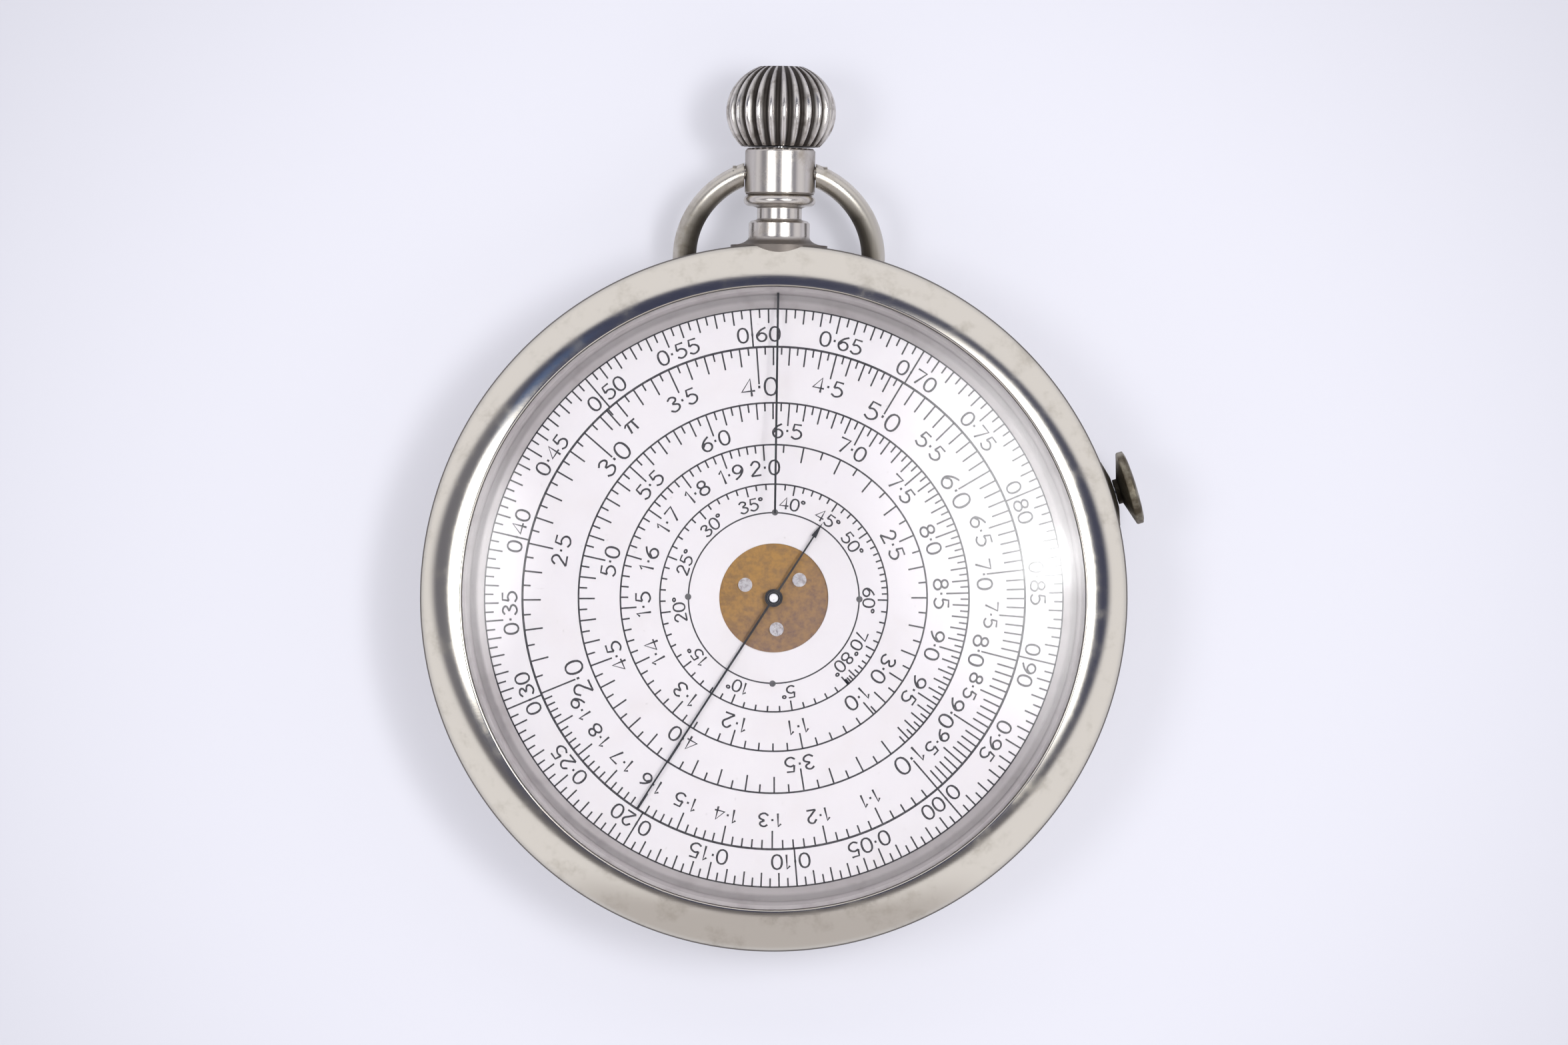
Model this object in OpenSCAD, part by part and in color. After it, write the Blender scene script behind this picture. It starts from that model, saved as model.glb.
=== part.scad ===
// Circular slide rule in the form of a pocket watch.
// The crown turns the whole dial under a fixed index line, and the side knob turns the hand.
// The origin is the middle of the flat of the back, +Z points out of the glass and +Y to the crown.

/* [Case] */
// Outside diameter of the case
case_d = 67; // [64:0.5:72]
// Height of the band's lower edge above the rest face
back_h = 5.7; // [5.5:0.1:6.5]
// Height of the band between the back and the bezel
band_h = 3.4; // [3.2:0.1:4.2]
// Wall of the band
band_wall = 1.6; // [1.4:0.1:2]
// Wall of the back cover
back_t = 0.7; // [0.5:0.05:0.85]
// Radius of the flat that the back rests on
back_flat_r = 10; // [8:0.5:11]
// Chamfer that draws the seams between back, band and bezel
seam = 0.2; // [0.1:0.05:0.3]
// Wall of the snap rims on the back and the bezel
snap_t = 0.7; // [0.5:0.05:0.8]
// Height of the snap rims
snap_h = 0.6; // [0.4:0.05:0.7]

/* [Bezel and crystal] */
// Width of the bezel seen from the front
bezel_w = 4.05; // [3.6:0.05:4.5]
// Width of the rounded lip beside the crystal
bezel_lip = 0.4; // [0.3:0.05:0.7]
// Height of the lip above the crystal's edge
bezel_proud = 0.25; // [0.1:0.05:0.4]
// Slope of the bezel beside its lip, in degrees
bezel_lean = 10; // [5:1:15]
// Slope of the bezel at its outer edge, in degrees
bezel_edge = 44; // [38:1:50]
// Radius of the bezel's rounded outer edge
bezel_round = 0.3; // [0.2:0.05:0.5]
// Thickness of the crystal
crystal_t = 1; // [0.8:0.05:1.2]
// Rise of the crystal's dome
crystal_dome = 2; // [1.4:0.1:2.6]
// Width of the crystal's flat seat
crystal_seat = 0.4; // [0.3:0.05:0.6]
// Width of the sloping ring between dial and bezel
surround_w = 2.05; // [1.7:0.05:2.4]
// Rise of the sloping ring
surround_rise = 0.62; // [0.45:0.01:0.8]
// Wall of the ring's rim around the dial
surround_wall = 0.5; // [0.4:0.05:0.6]
// Thickness of the ring's inner edge
surround_edge = 0.15; // [0.1:0.01:0.2]
// Width of the fixed index line
index_w = 0.2; // [0.12:0.01:0.3]
// Thickness of the index line
index_t = 0.06; // [0.04:0.01:0.1]
// Distance of the index line's inner end from the middle
index_in = 8; // [6:0.1:12]

/* [Dial] */
// Thickness of the dial plate
dial_plate_t = 0.45; // [0.35:0.01:0.6]
// Thickness of the printed card
card_t = 0.25; // [0.15:0.01:0.35]
// Radius of the brass that shows in the card's middle
card_hole_r = 5.15; // [4.8:0.05:5.6]
// Radius of the hub's flange under the plate
hub_flange_r = 4.4; // [4:0.1:5]
// Thickness of the hub's flange
hub_flange_t = 0.6; // [0.5:0.05:0.8]
// Radius of the hub's sleeve
hub_r = 2.3; // [2:0.05:2.5]
// Distance of the hub screws from the middle
hub_screw_at = 2.97; // [2.8:0.01:3.3]
// Turn of the first hub screw from +X
hub_screw_turn = 36; // [0:1:119]
// Number of hub screws
hub_screw_n = 3; // [3:1:6]
// Radius of a hub screw's head
hub_head_r = 0.66; // [0.58:0.01:0.74]
// Height of a hub screw's head
hub_head_h = 0.25; // [0.18:0.01:0.28]
// Radius of a hub screw's shank
hub_shank_r = 0.3; // [0.24:0.01:0.36]
// Number of rivets through the card and the dial wheel
rivet_n = 4; // [3:1:8]
// Distance of the rivets from the middle
rivet_at = 8.1; // [7.8:0.02:8.4]
// Radius of a rivet
rivet_r = 0.3; // [0.24:0.01:0.38]
// Height of a rivet's end above the card
rivet_proud = 0.05; // [0.02:0.01:0.1]

/* [Hand] */
// Length of the hand's long end
hand_l = 23.7; // [21:0.1:25]
// Distance of the arrow's tip from the middle
arrow_tip = 8.5; // [7.5:0.1:9.5]
// Length of the arrow
arrow_l = 1.6; // [1.2:0.05:2]
// Width of the arrow
arrow_w = 0.5; // [0.36:0.02:0.7]
// Width of the hand beside its eye
hand_w = 0.22; // [0.18:0.01:0.32]
// Width of the hand at its long tip
hand_tip_w = 0.15; // [0.1:0.01:0.18]
// Thickness of the hand
hand_t = 0.12; // [0.08:0.01:0.16]
// Radius of the hand's eye
hand_eye_r = 0.85; // [0.78:0.01:1]
// Height of the hand above the card
hand_lift = 0.4; // [0.35:0.01:0.5]
// Direction of the hand's long end from +X
hand_turn = 237.8; // [0:0.1:360]
// Radius of the arbor that carries the hand
arbor_r = 0.6; // [0.55:0.01:0.66]
// Radius of the arbor's end in the hand
arbor_tip_r = 0.4; // [0.34:0.01:0.45]
// Wall of the hand's collet
collet_wall = 0.16; // [0.12:0.01:0.2]

/* [Gearing] */
// Module of the teeth
gear_module = 0.35; // [0.32:0.01:0.38]
// Teeth of both pinions
pinion_teeth = 12; // [11:1:13]
// Teeth of the dial wheel
dial_teeth = 72; // [66:1:78]
// Teeth of the cursor wheel
cursor_teeth = 48; // [44:1:52]
// Play between meshing teeth
backlash = 0.24; // [0.2:0.01:0.28]
// Width of the teeth of the dial wheel
dial_face = 1; // [0.8:0.05:1.2]
// Width of the teeth of the cursor wheel
cursor_face = 0.8; // [0.6:0.05:0.9]
// Thickness of a wheel's rim behind its teeth
rim_t = 0.5; // [0.4:0.05:0.6]
// Thickness of a wheel's web
web_t = 0.3; // [0.24:0.01:0.36]
// Radius of both stems
stem_r = 0.6; // [0.5:0.02:0.64]
// Radius of the cursor wheel's hub
cursor_hub_r = 1.6; // [1.4:0.05:1.8]

/* [Plate] */
// Thickness of the main plate
plate_t = 0.7; // [0.6:0.02:0.76]
// Height of the ledge that the plate is screwed to
ledge_h = 0.7; // [0.5:0.05:1]
// Number of plate screws
plate_screw_n = 3; // [3:1:4]
// Turn of the first plate screw from +X
plate_screw_turn = 54; // [46:1:60]
// Radius of a plate screw's shank
plate_shank_r = 0.45; // [0.35:0.01:0.5]
// Radius of a plate screw's head
plate_head_r = 0.8; // [0.7:0.01:0.9]
// Height of a plate screw's head
plate_head_h = 0.3; // [0.2:0.01:0.35]
// Distance of the plate screws inside the plate's edge
plate_screw_in = 1.3; // [1.2:0.05:1.6]
// Radius of the centre post
post_r = 1.4; // [1.25:0.01:1.55]
// Radius of the post's shoulder
post_shoulder_r = 3; // [2.8:0.05:3.3]
// Height of the post's shoulder
post_shoulder_h = 0.4; // [0.3:0.02:0.5]
// Height that each friction spring takes up
spring_h = 0.38; // [0.32:0.01:0.4]
// Thickness of the friction springs
spring_t = 0.12; // [0.08:0.01:0.15]
// Length of a stem bridge along its stem
bridge_l = 2.2; // [1.6:0.1:2.4]
// Width of a stem bridge
bridge_w = 4.8; // [4.4:0.1:5.4]
// Metal of a bridge above its stem
bridge_cap = 0.45; // [0.35:0.05:0.6]
// Radius of a bridge screw's shank
bridge_shank_r = 0.3; // [0.24:0.01:0.34]
// Radius of a bridge screw's head
bridge_head_r = 0.55; // [0.45:0.01:0.6]
// Height of a bridge screw's head
bridge_head_h = 0.25; // [0.2:0.01:0.28]

/* [Pendant] */
// Radius of the pendant's foot on the band
foot_r = 4.6; // [4.3:0.05:4.8]
// Height of the foot's flare above the case
foot_h = 0.8; // [0.6:0.05:1]
// Length by which the feet of the pendant and the side bush wrap round the case
foot_wrap = 1; // [0.7:0.05:1.3]
// Radius of the collar above the foot
collar_r = 2.9; // [2.7:0.05:3.05]
// Height of the top of the collar above the case
collar_top = 2.3; // [2:0.1:2.5]
// Radius of the waist
waist_r = 2.12; // [2.04:0.02:2.4]
// Height of the top of the waist above the case
waist_top = 3.7; // [3.4:0.1:4]
// Radius of the bead under the barrel
bead_r = 3.42; // [3.36:0.01:3.46]
// Height of the top of the bead above the case
bead_top = 4.8; // [4.6:0.05:5]
// Radius of the barrel that holds the bow
barrel_r = 3.33; // [3.2:0.01:3.4]
// Height of the top of the barrel above the case
barrel_top = 9.2; // [8.8:0.1:9.6]
// Wall of the sleeve that guides the crown's stem
sleeve_wall = 0.66; // [0.55:0.01:0.72]

/* [Crown] */
// Greatest radius of the crown
crown_r = 5.24; // [4.9:0.02:5.5]
// Height of the crown
crown_h = 7.6; // [7:0.1:8]
// Height of the crown's widest ring above its lower face
crown_belly = 3.3; // [3:0.1:3.5]
// Half the height of the round outline that the crown is cut from
crown_half = 4.7; // [4.5:0.05:5.2]
// Least radius of the crown's flat top
crown_flat_r = 1.8; // [1.4:0.1:2.4]
// Number of flutes
flutes = 25; // [18:1:32]
// Depth of a flute at the crown's widest ring
flute_depth = 0.5; // [0.3:0.05:0.6]
// Depth of the stem's hole in the crown
crown_hole = 5; // [4:0.1:5.6]

/* [Bow] */
// Radius of the bow's ring at the middle of the wire
bow_r = 9; // [8.8:0.05:9.4]
// Radius of the bow's wire
bow_wire_r = 1.12; // [0.9:0.01:1.2]
// Distance of the ring's centre from the pivot
bow_drop = 8.55; // [8.3:0.05:8.8]
// Height of the pivot above the case
pivot_h = 6.9; // [6.7:0.05:7.2]
// Radius of the bow's pivot pins
pivot_r = 0.65; // [0.55:0.01:0.72]
// Length of a pivot pin inside the barrel
pivot_in = 1.4; // [1.1:0.05:1.45]

/* [Side knob] */
// Direction of the side knob from +X
side_turn = 18; // [12:0.5:26]
// Radius of the knob's rim
knob_r = 3.55; // [3.2:0.05:3.9]
// Thickness of the knob's rim
knob_rim_t = 0.65; // [0.5:0.05:0.8]
// Rise of the knob's domed face
knob_dome = 0.3; // [0.2:0.02:0.4]
// Radius of the knob's neck
knob_neck_r = 1.2; // [1.05:0.05:1.4]
// Length of the knob's neck
knob_neck_l = 0.4; // [0.3:0.05:0.5]
// Length of the knob's flare
knob_flare_l = 0.7; // [0.5:0.05:0.9]
// Radius of the bush's foot on the band
bush_r = 3.2; // [2.8:0.05:3.4]
// Radius of the bush's outer end
bush_tip_r = 1.55; // [1.45:0.05:1.9]
// Height of the bush above the case
bush_h = 0.4; // [0.3:0.01:0.5]
// Wall of the bush's tube through the band
bush_wall = 0.62; // [0.5:0.01:0.7]

/* [Fits] */
// Radial clearance of turning parts
run_fit = 0.04; // [0.02:0.01:0.06]
// Radial clearance of parts that are fixed together
set_fit = 0.02; // [0.01:0.01:0.03]
// Gap between a turning part and what it passes
gap = 0.2; // [0.15:0.01:0.24]
// Height of the bow's lowest point above the rest face
bow_floor = 0.05; // [0.02:0.01:0.1]
// Gap between the bow and the back
bow_gap = 0.3; // [0.2:0.01:0.4]

/* [Hidden] */
$fn = 96;
// Finer steps for the large curves of the crystal and of the saddles on the band
glass_fn = 720;
saddle_fn = 360;
// Case, from the rest face upwards
case_r = case_d / 2;
band_in_r = case_r - band_wall;
band_top = back_h + band_h;
snap_out_r = band_in_r - set_fit;
snap_in_r = snap_out_r - snap_t;
stem_z = back_h + band_h / 2;
crystal_r = case_r - bezel_w;
// Gearing
pinion_r = gear_module * pinion_teeth / 2;
addendum = 0.7 * gear_module;
dedendum = 0.95 * gear_module;
pressure_angle = 20;
tooth_w = PI * gear_module / 2 - backlash / 2;
base_r = pinion_r * cos(pressure_angle);
tip_r = pinion_r + addendum;
root_r = pinion_r - dedendum;
dial_wheel_r = gear_module * dial_teeth / 2;
cursor_wheel_r = gear_module * cursor_teeth / 2;
rim_margin = 0.3;
// Plate under the stems
plate_top = stem_z - stem_r - gap;
plate_low = plate_top - plate_t;
plate_r = snap_in_r - gap;
plate_screw_at = plate_r - plate_screw_in;
ledge_in_r = plate_screw_at - plate_screw_in + plate_shank_r;
bridge_top = stem_z + stem_r + bridge_cap;
bridge_screw_side = (bridge_w / 2 + stem_r) / 2;
crown_bridge_at = dial_wheel_r + dial_face / 2 + gap;
side_bridge_at = cursor_wheel_r + cursor_face / 2 + gap;
post_hole_r = arbor_r + run_fit;
shoulder_top = plate_top + post_shoulder_h;
hub_low = shoulder_top + spring_h;
// Dial, above the stems
dial_root_z = stem_z + pinion_r + dedendum;
dial_low = dial_root_z + rim_t;
dial_top = dial_low + dial_plate_t;
card_top = dial_top + card_t;
dial_r = crystal_r - surround_wall - gap - gap / 2;
dial_view_r = crystal_r - surround_w;
post_top = dial_low - gap;
// Cursor wheel, below the plate
cursor_root_z = stem_z - pinion_r - dedendum;
cursor_low = cursor_root_z - rim_t;
cursor_hub_top = plate_low - spring_h;
hand_z = card_top + hand_lift;
// Front, above the dial
surround_low = card_top + gap;
crystal_low = surround_low + surround_edge + surround_rise;
crystal_edge = crystal_low + crystal_t;
bezel_top = crystal_edge + bezel_proud;
lip_in_r = crystal_r + set_fit;
lip_r = lip_in_r + bezel_lip;
shelf_in_r = dial_r + gap;
shelf_z = dial_low - gap;
shelf_t = 0.5;
glass_out_r = (crystal_r ^ 2 + crystal_dome ^ 2) / (2 * crystal_dome);
glass_out_z = crystal_edge + crystal_dome - glass_out_r;
glass_open_r = crystal_r - crystal_seat;
glass_rise = crystal_edge + crystal_dome - crystal_t - crystal_low;
glass_in_r = (glass_open_r ^ 2 + glass_rise ^ 2) / (2 * glass_rise);
glass_in_z = crystal_low + glass_rise - glass_in_r;
// Bow, hanging down behind the case with its far end just above the rest face
pivot_y = case_r + pivot_h;
bow_reach = bow_drop + bow_r;
bow_tilt = asin((stem_z - bow_wire_r - bow_floor) / bow_reach);
bow_end_x = barrel_r + gap / 2;
// Back, which clears the bow
dome_r = pivot_y - bow_reach * cos(bow_tilt);
dome_z = bow_floor + 2 * bow_wire_r + bow_gap;
dome_arc_r = ((dome_r - back_flat_r) ^ 2 + dome_z ^ 2) / (2 * dome_z);
dome_arc = 2 * atan(dome_z / (dome_r - back_flat_r));
// Stems and sleeves
sleeve_bore_r = stem_r + run_fit;
sleeve_r = sleeve_bore_r + sleeve_wall;
bush_tube_r = sleeve_bore_r + bush_wall;
crown_low = case_r + barrel_top + gap;
knob_low = case_r + bush_h + gap / 2;
knob_flare_low = knob_low + knob_neck_l;
knob_rim_low = knob_flare_low + knob_flare_l;
knob_face = knob_rim_low + knob_rim_t;
crown_rings = 12;
flute_steps = 4;
// Length by which a cut runs past the piece that it cuts
over = 0.5;
// Length by which joined shapes of one piece reach into each other
sink = 0.05;

// Points of an elliptic arc about a centre
function arc(c, a, b, from, to, n = 12) =
  [for (i = [0:n]) let (t = from + (to - from) * i / n) c + [a * cos(t), b * sin(t)]];
function polar(r, a) = [r * cos(a), r * sin(a)];

// Angle between a tooth's middle and its flank at a radius, for an involute flank
function involute(r) = let (p = acos(min(1, base_r / r))) tan(p) * 180 / PI - p;
function flank(r) =
  tooth_w / (2 * pinion_r) * 180 / PI + involute(pinion_r) - involute(max(r, base_r));
flank_radii = [root_r, max(base_r, root_r + sink), pinion_r, tip_r];
function pinion_tooth(a) = concat(
  [for (i = [0:3]) polar(flank_radii[i], a - flank(flank_radii[i]))],
  [for (i = [3:-1:0]) polar(flank_radii[i], a + flank(flank_radii[i]))]);
pinion_outline = [for (i = [0:pinion_teeth - 1]) each pinion_tooth(360 * i / pinion_teeth)];

// Rounded outside of the bezel, and the side of the closed case from the back to the lip
bezel_arc_r = (case_r - bezel_round * (1 - sin(bezel_edge)) - lip_r) / (sin(bezel_edge) - sin(bezel_lean));
bezel_arc_z = bezel_top - bezel_arc_r * cos(bezel_lean);
bezel_side_z = bezel_arc_z + (bezel_arc_r - bezel_round) * cos(bezel_edge);
bezel_curve = concat(
  [[case_r, band_top + seam]],
  arc([case_r - bezel_round, bezel_side_z], bezel_round, bezel_round, 0, 0.75 * (90 - bezel_edge), 3),
  arc([lip_r - bezel_arc_r * sin(bezel_lean), bezel_arc_z], bezel_arc_r, bezel_arc_r,
    90 - bezel_edge, 90 - bezel_lean, 16));
case_side = concat([[dome_r, dome_z], [case_r, back_h - seam]], bezel_curve);

// The closed case, as a cut for the feet that sit on it
module case_saddle() {
  rotate_extrude($fn = saddle_fn) polygon(concat(
    [[0, dome_z]], [for (p = case_side) p + [set_fit, 0]], [[0, bezel_top]]));
}

// Places a piece that is turned about the crown's axis, with its length along +Y
module on_crown_axis() {
  translate([0, 0, stem_z]) rotate([-90, 0, 0]) children();
}

// Places a piece that is turned about the side knob's axis, with its length outwards
module on_side_axis() {
  rotate(side_turn) translate([0, 0, stem_z]) rotate([0, 90, 0]) children();
}

module ring_of(n, r, first = 0) {
  for (i = [0:n - 1]) rotate(first + 360 * i / n) translate([r, 0, 0]) children();
}

// Slotted screw with its head's underside at z = 0, pointing down
module screw(head_r, head_h, shank_r, shank_l) {
  difference() {
    union() {
      cylinder(r = head_r, h = head_h);
      translate([0, 0, -shank_l]) cylinder(r = shank_r, h = shank_l + sink);
    }
    translate([-head_r - over, -head_r / 7, head_h * 0.45])
      cube([2 * (head_r + over), head_r / 3.5, head_h]);
  }
}

module pinion(face) {
  linear_extrude(face, center = true) difference() {
    polygon(pinion_outline);
    circle(stem_r + set_fit);
  }
}

// Crown teeth of a wheel, standing up from their root plane, with a gap at +X
module crown_teeth(n, wheel_r, face) {
  low_w = tooth_w + 2 * dedendum * tan(pressure_angle);
  tip_w = tooth_w - 2 * addendum * tan(pressure_angle);
  tooth_h = addendum + dedendum;
  for (i = [0:n - 1]) rotate(360 * (i + 0.5) / n) translate([wheel_r - face / 2, 0, 0])
    rotate([90, 0, 90]) linear_extrude(face) polygon([
      [-low_w / 2, -sink], [low_w / 2, -sink], [low_w / 2, 0],
      [tip_w / 2, tooth_h], [-tip_w / 2, tooth_h], [-low_w / 2, 0]]);
}

module case_band() {
  color("#b9b4ab") difference() {
    rotate_extrude() polygon([
      [band_in_r, back_h], [case_r - seam, back_h], [case_r, back_h + seam],
      [case_r, band_top - seam], [case_r - seam, band_top], [band_in_r, band_top],
      [band_in_r, plate_top + ledge_h], [ledge_in_r, plate_top + ledge_h],
      [ledge_in_r, plate_top], [band_in_r, plate_top]]);
    on_crown_axis() translate([0, 0, ledge_in_r - over])
      cylinder(r = sleeve_r + set_fit, h = case_r - ledge_in_r + 2 * over);
    on_side_axis() translate([0, 0, ledge_in_r - over])
      cylinder(r = bush_tube_r + set_fit, h = case_r - ledge_in_r + 2 * over);
    translate([0, 0, plate_top]) ring_of(plate_screw_n, plate_screw_at, plate_screw_turn)
      translate([0, 0, -over]) cylinder(r = plate_shank_r + set_fit, h = ledge_h + 2 * over);
  }
}

// Spun back, flat in the middle and drawn up to the band
module back_cover() {
  dome = arc([back_flat_r, dome_arc_r], dome_arc_r, dome_arc_r, -90, -90 + dome_arc);
  slope = (back_h - seam - dome_z) / (case_r - dome_r);
  in_r = dome_r + (back_h - back_t - dome_z) / slope;
  inside = [for (i = [len(dome) - 1:-1:0]) dome[i] + [0, back_t]];
  color("#aaa59c") rotate_extrude() polygon(concat(
    [[0, 0]], dome,
    [[case_r, back_h - seam], [case_r - seam, back_h], [snap_out_r, back_h],
     [snap_out_r, back_h + snap_h], [snap_in_r, back_h + snap_h],
     [min(snap_in_r, in_r), back_h]],
    inside, [[0, back_t]]));
}

// Turned bezel with a rounded outside, a lip for the crystal and a shelf for the dial surround
module bezel() {
  color("#c4c0b8") rotate_extrude() polygon(concat(
    [[snap_in_r, band_top - snap_h], [snap_out_r, band_top - snap_h], [snap_out_r, band_top],
     [case_r - seam, band_top]],
    bezel_curve,
    arc([lip_r, bezel_top - bezel_proud], bezel_lip, bezel_proud, 90, 180, 6),
    [[lip_in_r, shelf_z], [shelf_in_r, shelf_z], [shelf_in_r, shelf_z - shelf_t],
     [snap_in_r, band_top]]));
}

module crystal() {
  color("lightcyan", 0.35) rotate_extrude() intersection() {
    difference() {
      translate([0, glass_out_z]) circle(glass_out_r, $fn = glass_fn);
      translate([0, glass_in_z]) circle(glass_in_r, $fn = glass_fn);
    }
    translate([0, crystal_low]) square([crystal_r, crystal_t + crystal_dome + over]);
  }
}

// Thin line along the underside of the crystal, from its edge towards the middle
module index_line() {
  color("#202024") intersection() {
    rotate_extrude() intersection() {
      translate([0, glass_in_z]) difference() {
        circle(glass_in_r - set_fit, $fn = glass_fn);
        circle(glass_in_r - set_fit - index_t, $fn = glass_fn);
      }
      translate([index_in / 2, crystal_low - over]) square([crystal_r, glass_rise + 2 * over]);
    }
    translate([-index_w / 2, index_in, crystal_low - over])
      cube([index_w, glass_open_r - gap - index_in, glass_rise + 2 * over]);
  }
}

// Polished sloping ring between the dial's edge and the crystal
module dial_surround() {
  color("#9f9a9c") rotate_extrude() polygon([
    [crystal_r, shelf_z], [crystal_r, crystal_low], [crystal_r - crystal_seat, crystal_low],
    [dial_view_r, surround_low + surround_edge], [dial_view_r, surround_low],
    [crystal_r - surround_wall, surround_low], [crystal_r - surround_wall, shelf_z]]);
}

// Turned neck on the band, bored for the stem's sleeve and cross-bored for the bow
module pendant() {
  color("#bdb8b0") difference() {
    on_crown_axis() rotate_extrude() polygon(concat(
      [[0, case_r - foot_wrap], [foot_r, case_r - foot_wrap]],
      arc([foot_r, case_r + foot_h], foot_r - collar_r, foot_h, 270, 180, 6),
      [[collar_r, case_r + collar_top - seam],
       [collar_r - seam, case_r + collar_top], [waist_r, case_r + collar_top + seam],
       [waist_r, case_r + waist_top]],
      arc([bead_r - (bead_top - waist_top) / 2, case_r + (waist_top + bead_top) / 2],
        (bead_top - waist_top) / 2, (bead_top - waist_top) / 2, -90, 90, 8),
      [[barrel_r, case_r + bead_top], [barrel_r, case_r + barrel_top - seam],
       [barrel_r - seam, case_r + barrel_top], [0, case_r + barrel_top]]));
    case_saddle();
    on_crown_axis() translate([0, 0, band_in_r])
      cylinder(r = sleeve_r + set_fit, h = case_r - band_in_r + barrel_top + over);
    for (side = [0, 180]) translate([0, pivot_y, stem_z]) rotate([0, 90, side])
      translate([0, 0, barrel_r - pivot_in - set_fit])
        cylinder(r = pivot_r + run_fit, h = pivot_in + over);
  }
}

module stem_sleeve() {
  color("#b08d4a") on_crown_axis() difference() {
    translate([0, 0, band_in_r]) cylinder(r = sleeve_r, h = case_r + barrel_top - band_in_r);
    translate([0, 0, band_in_r - over])
      cylinder(r = sleeve_bore_r, h = case_r + barrel_top - band_in_r + 2 * over);
  }
}

module side_bush() {
  color("#8d8679") difference() {
    on_side_axis() union() {
      translate([0, 0, band_in_r]) cylinder(r = bush_tube_r, h = band_wall + bush_h / 2);
      translate([0, 0, case_r - foot_wrap]) cylinder(r = bush_r, h = foot_wrap);
      translate([0, 0, case_r]) cylinder(r1 = bush_r, r2 = bush_tip_r, h = bush_h);
    }
    difference() {
      case_saddle();
      on_side_axis() cylinder(r = bush_tube_r, h = case_d);
    }
    on_side_axis() translate([0, 0, band_in_r - over])
      cylinder(r = sleeve_bore_r, h = band_wall + bush_h + 2 * over);
  }
}

// Plate that carries the post and the bridges, with windows for the pinions
module main_plate() {
  window_w = 2 * (tip_r + gap);
  color("#b9964f") difference() {
    translate([0, 0, plate_low]) cylinder(r = plate_r, h = plate_t);
    translate([0, 0, plate_low - over]) {
      cylinder(r = post_r + set_fit, h = plate_t + 2 * over);
      ring_of(plate_screw_n, plate_screw_at, plate_screw_turn)
        cylinder(r = plate_shank_r + set_fit, h = plate_t + 2 * over);
      translate([-window_w / 2, dial_wheel_r - dial_face / 2 - gap, 0])
        cube([window_w, dial_face + 2 * gap, plate_t + 2 * over]);
      rotate(side_turn) translate([cursor_wheel_r - cursor_face / 2 - gap, -window_w / 2, 0])
        cube([cursor_face + 2 * gap, window_w, plate_t + 2 * over]);
    }
    bridge_screw_places() translate([0, 0, plate_low - over])
      cylinder(r = bridge_shank_r + set_fit, h = plate_t + 2 * over);
  }
}

module plate_screws() {
  color("#5a6a86") translate([0, 0, plate_low])
    ring_of(plate_screw_n, plate_screw_at, plate_screw_turn) rotate([180, 0, 0])
      screw(plate_head_r, plate_head_h, plate_shank_r, plate_t + ledge_h);
}

// Hollow post on which the dial turns and through which the hand's arbor runs
module centre_post() {
  color("#8f969c") difference() {
    union() {
      translate([0, 0, plate_low]) cylinder(r = post_r, h = post_top - plate_low);
      translate([0, 0, plate_top]) cylinder(r = post_shoulder_r, h = post_shoulder_h);
    }
    translate([0, 0, plate_low - over])
      cylinder(r = post_hole_r, h = post_top - plate_low + 2 * over);
  }
}

// Dished washer from an inner to an outer radius, resting on z = 0 at its outer edge
module dished_washer(in_r, out_r) {
  rise = spring_h - spring_t - 2 * set_fit;
  rotate_extrude() polygon([
    [in_r, rise], [out_r, 0], [out_r, spring_t], [in_r, rise + spring_t]]);
}

module dial_spring() {
  color("#c9b06a") translate([0, 0, shoulder_top + set_fit])
    dished_washer(post_r + run_fit, hub_r);
}

module cursor_spring() {
  color("#c9b06a") translate([0, 0, plate_low - set_fit]) mirror([0, 0, 1])
    dished_washer(post_hole_r, cursor_hub_r);
}

module bridge_block(at) {
  difference() {
    translate([at, -bridge_w / 2, plate_top]) cube([bridge_l, bridge_w, bridge_top - plate_top]);
    translate([at - over, 0, stem_z]) rotate([0, 90, 0])
      cylinder(r = sleeve_bore_r, h = bridge_l + 2 * over);
    for (side = [-1, 1]) translate([at + bridge_l / 2, side * bridge_screw_side, plate_top - over])
      cylinder(r = bridge_shank_r + set_fit, h = bridge_top - plate_top + 2 * over);
  }
}

module bridge_screw_places() {
  for (seat = [[90, crown_bridge_at], [side_turn, side_bridge_at]], side = [-1, 1])
    rotate(seat[0]) translate([seat[1] + bridge_l / 2, side * bridge_screw_side, 0]) children();
}

module crown_bridge() {
  color("#b9964f") rotate(90) bridge_block(crown_bridge_at);
}

module side_bridge() {
  color("#b9964f") rotate(side_turn) bridge_block(side_bridge_at);
}

module bridge_screws() {
  color("#5a6a86") bridge_screw_places() translate([0, 0, bridge_top])
    screw(bridge_head_r, bridge_head_h, bridge_shank_r, bridge_top - plate_low);
}

module dial_plate() {
  color("#a9803f") difference() {
    translate([0, 0, dial_low]) cylinder(r = dial_r, h = dial_plate_t);
    translate([0, 0, dial_low - over]) {
      cylinder(r = arbor_r + gap / 2, h = dial_plate_t + 2 * over);
      ring_of(hub_screw_n, hub_screw_at, hub_screw_turn)
        cylinder(r = hub_shank_r + set_fit, h = dial_plate_t + 2 * over);
      ring_of(rivet_n, rivet_at) cylinder(r = rivet_r + set_fit, h = dial_plate_t + 2 * over);
    }
  }
}

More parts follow.
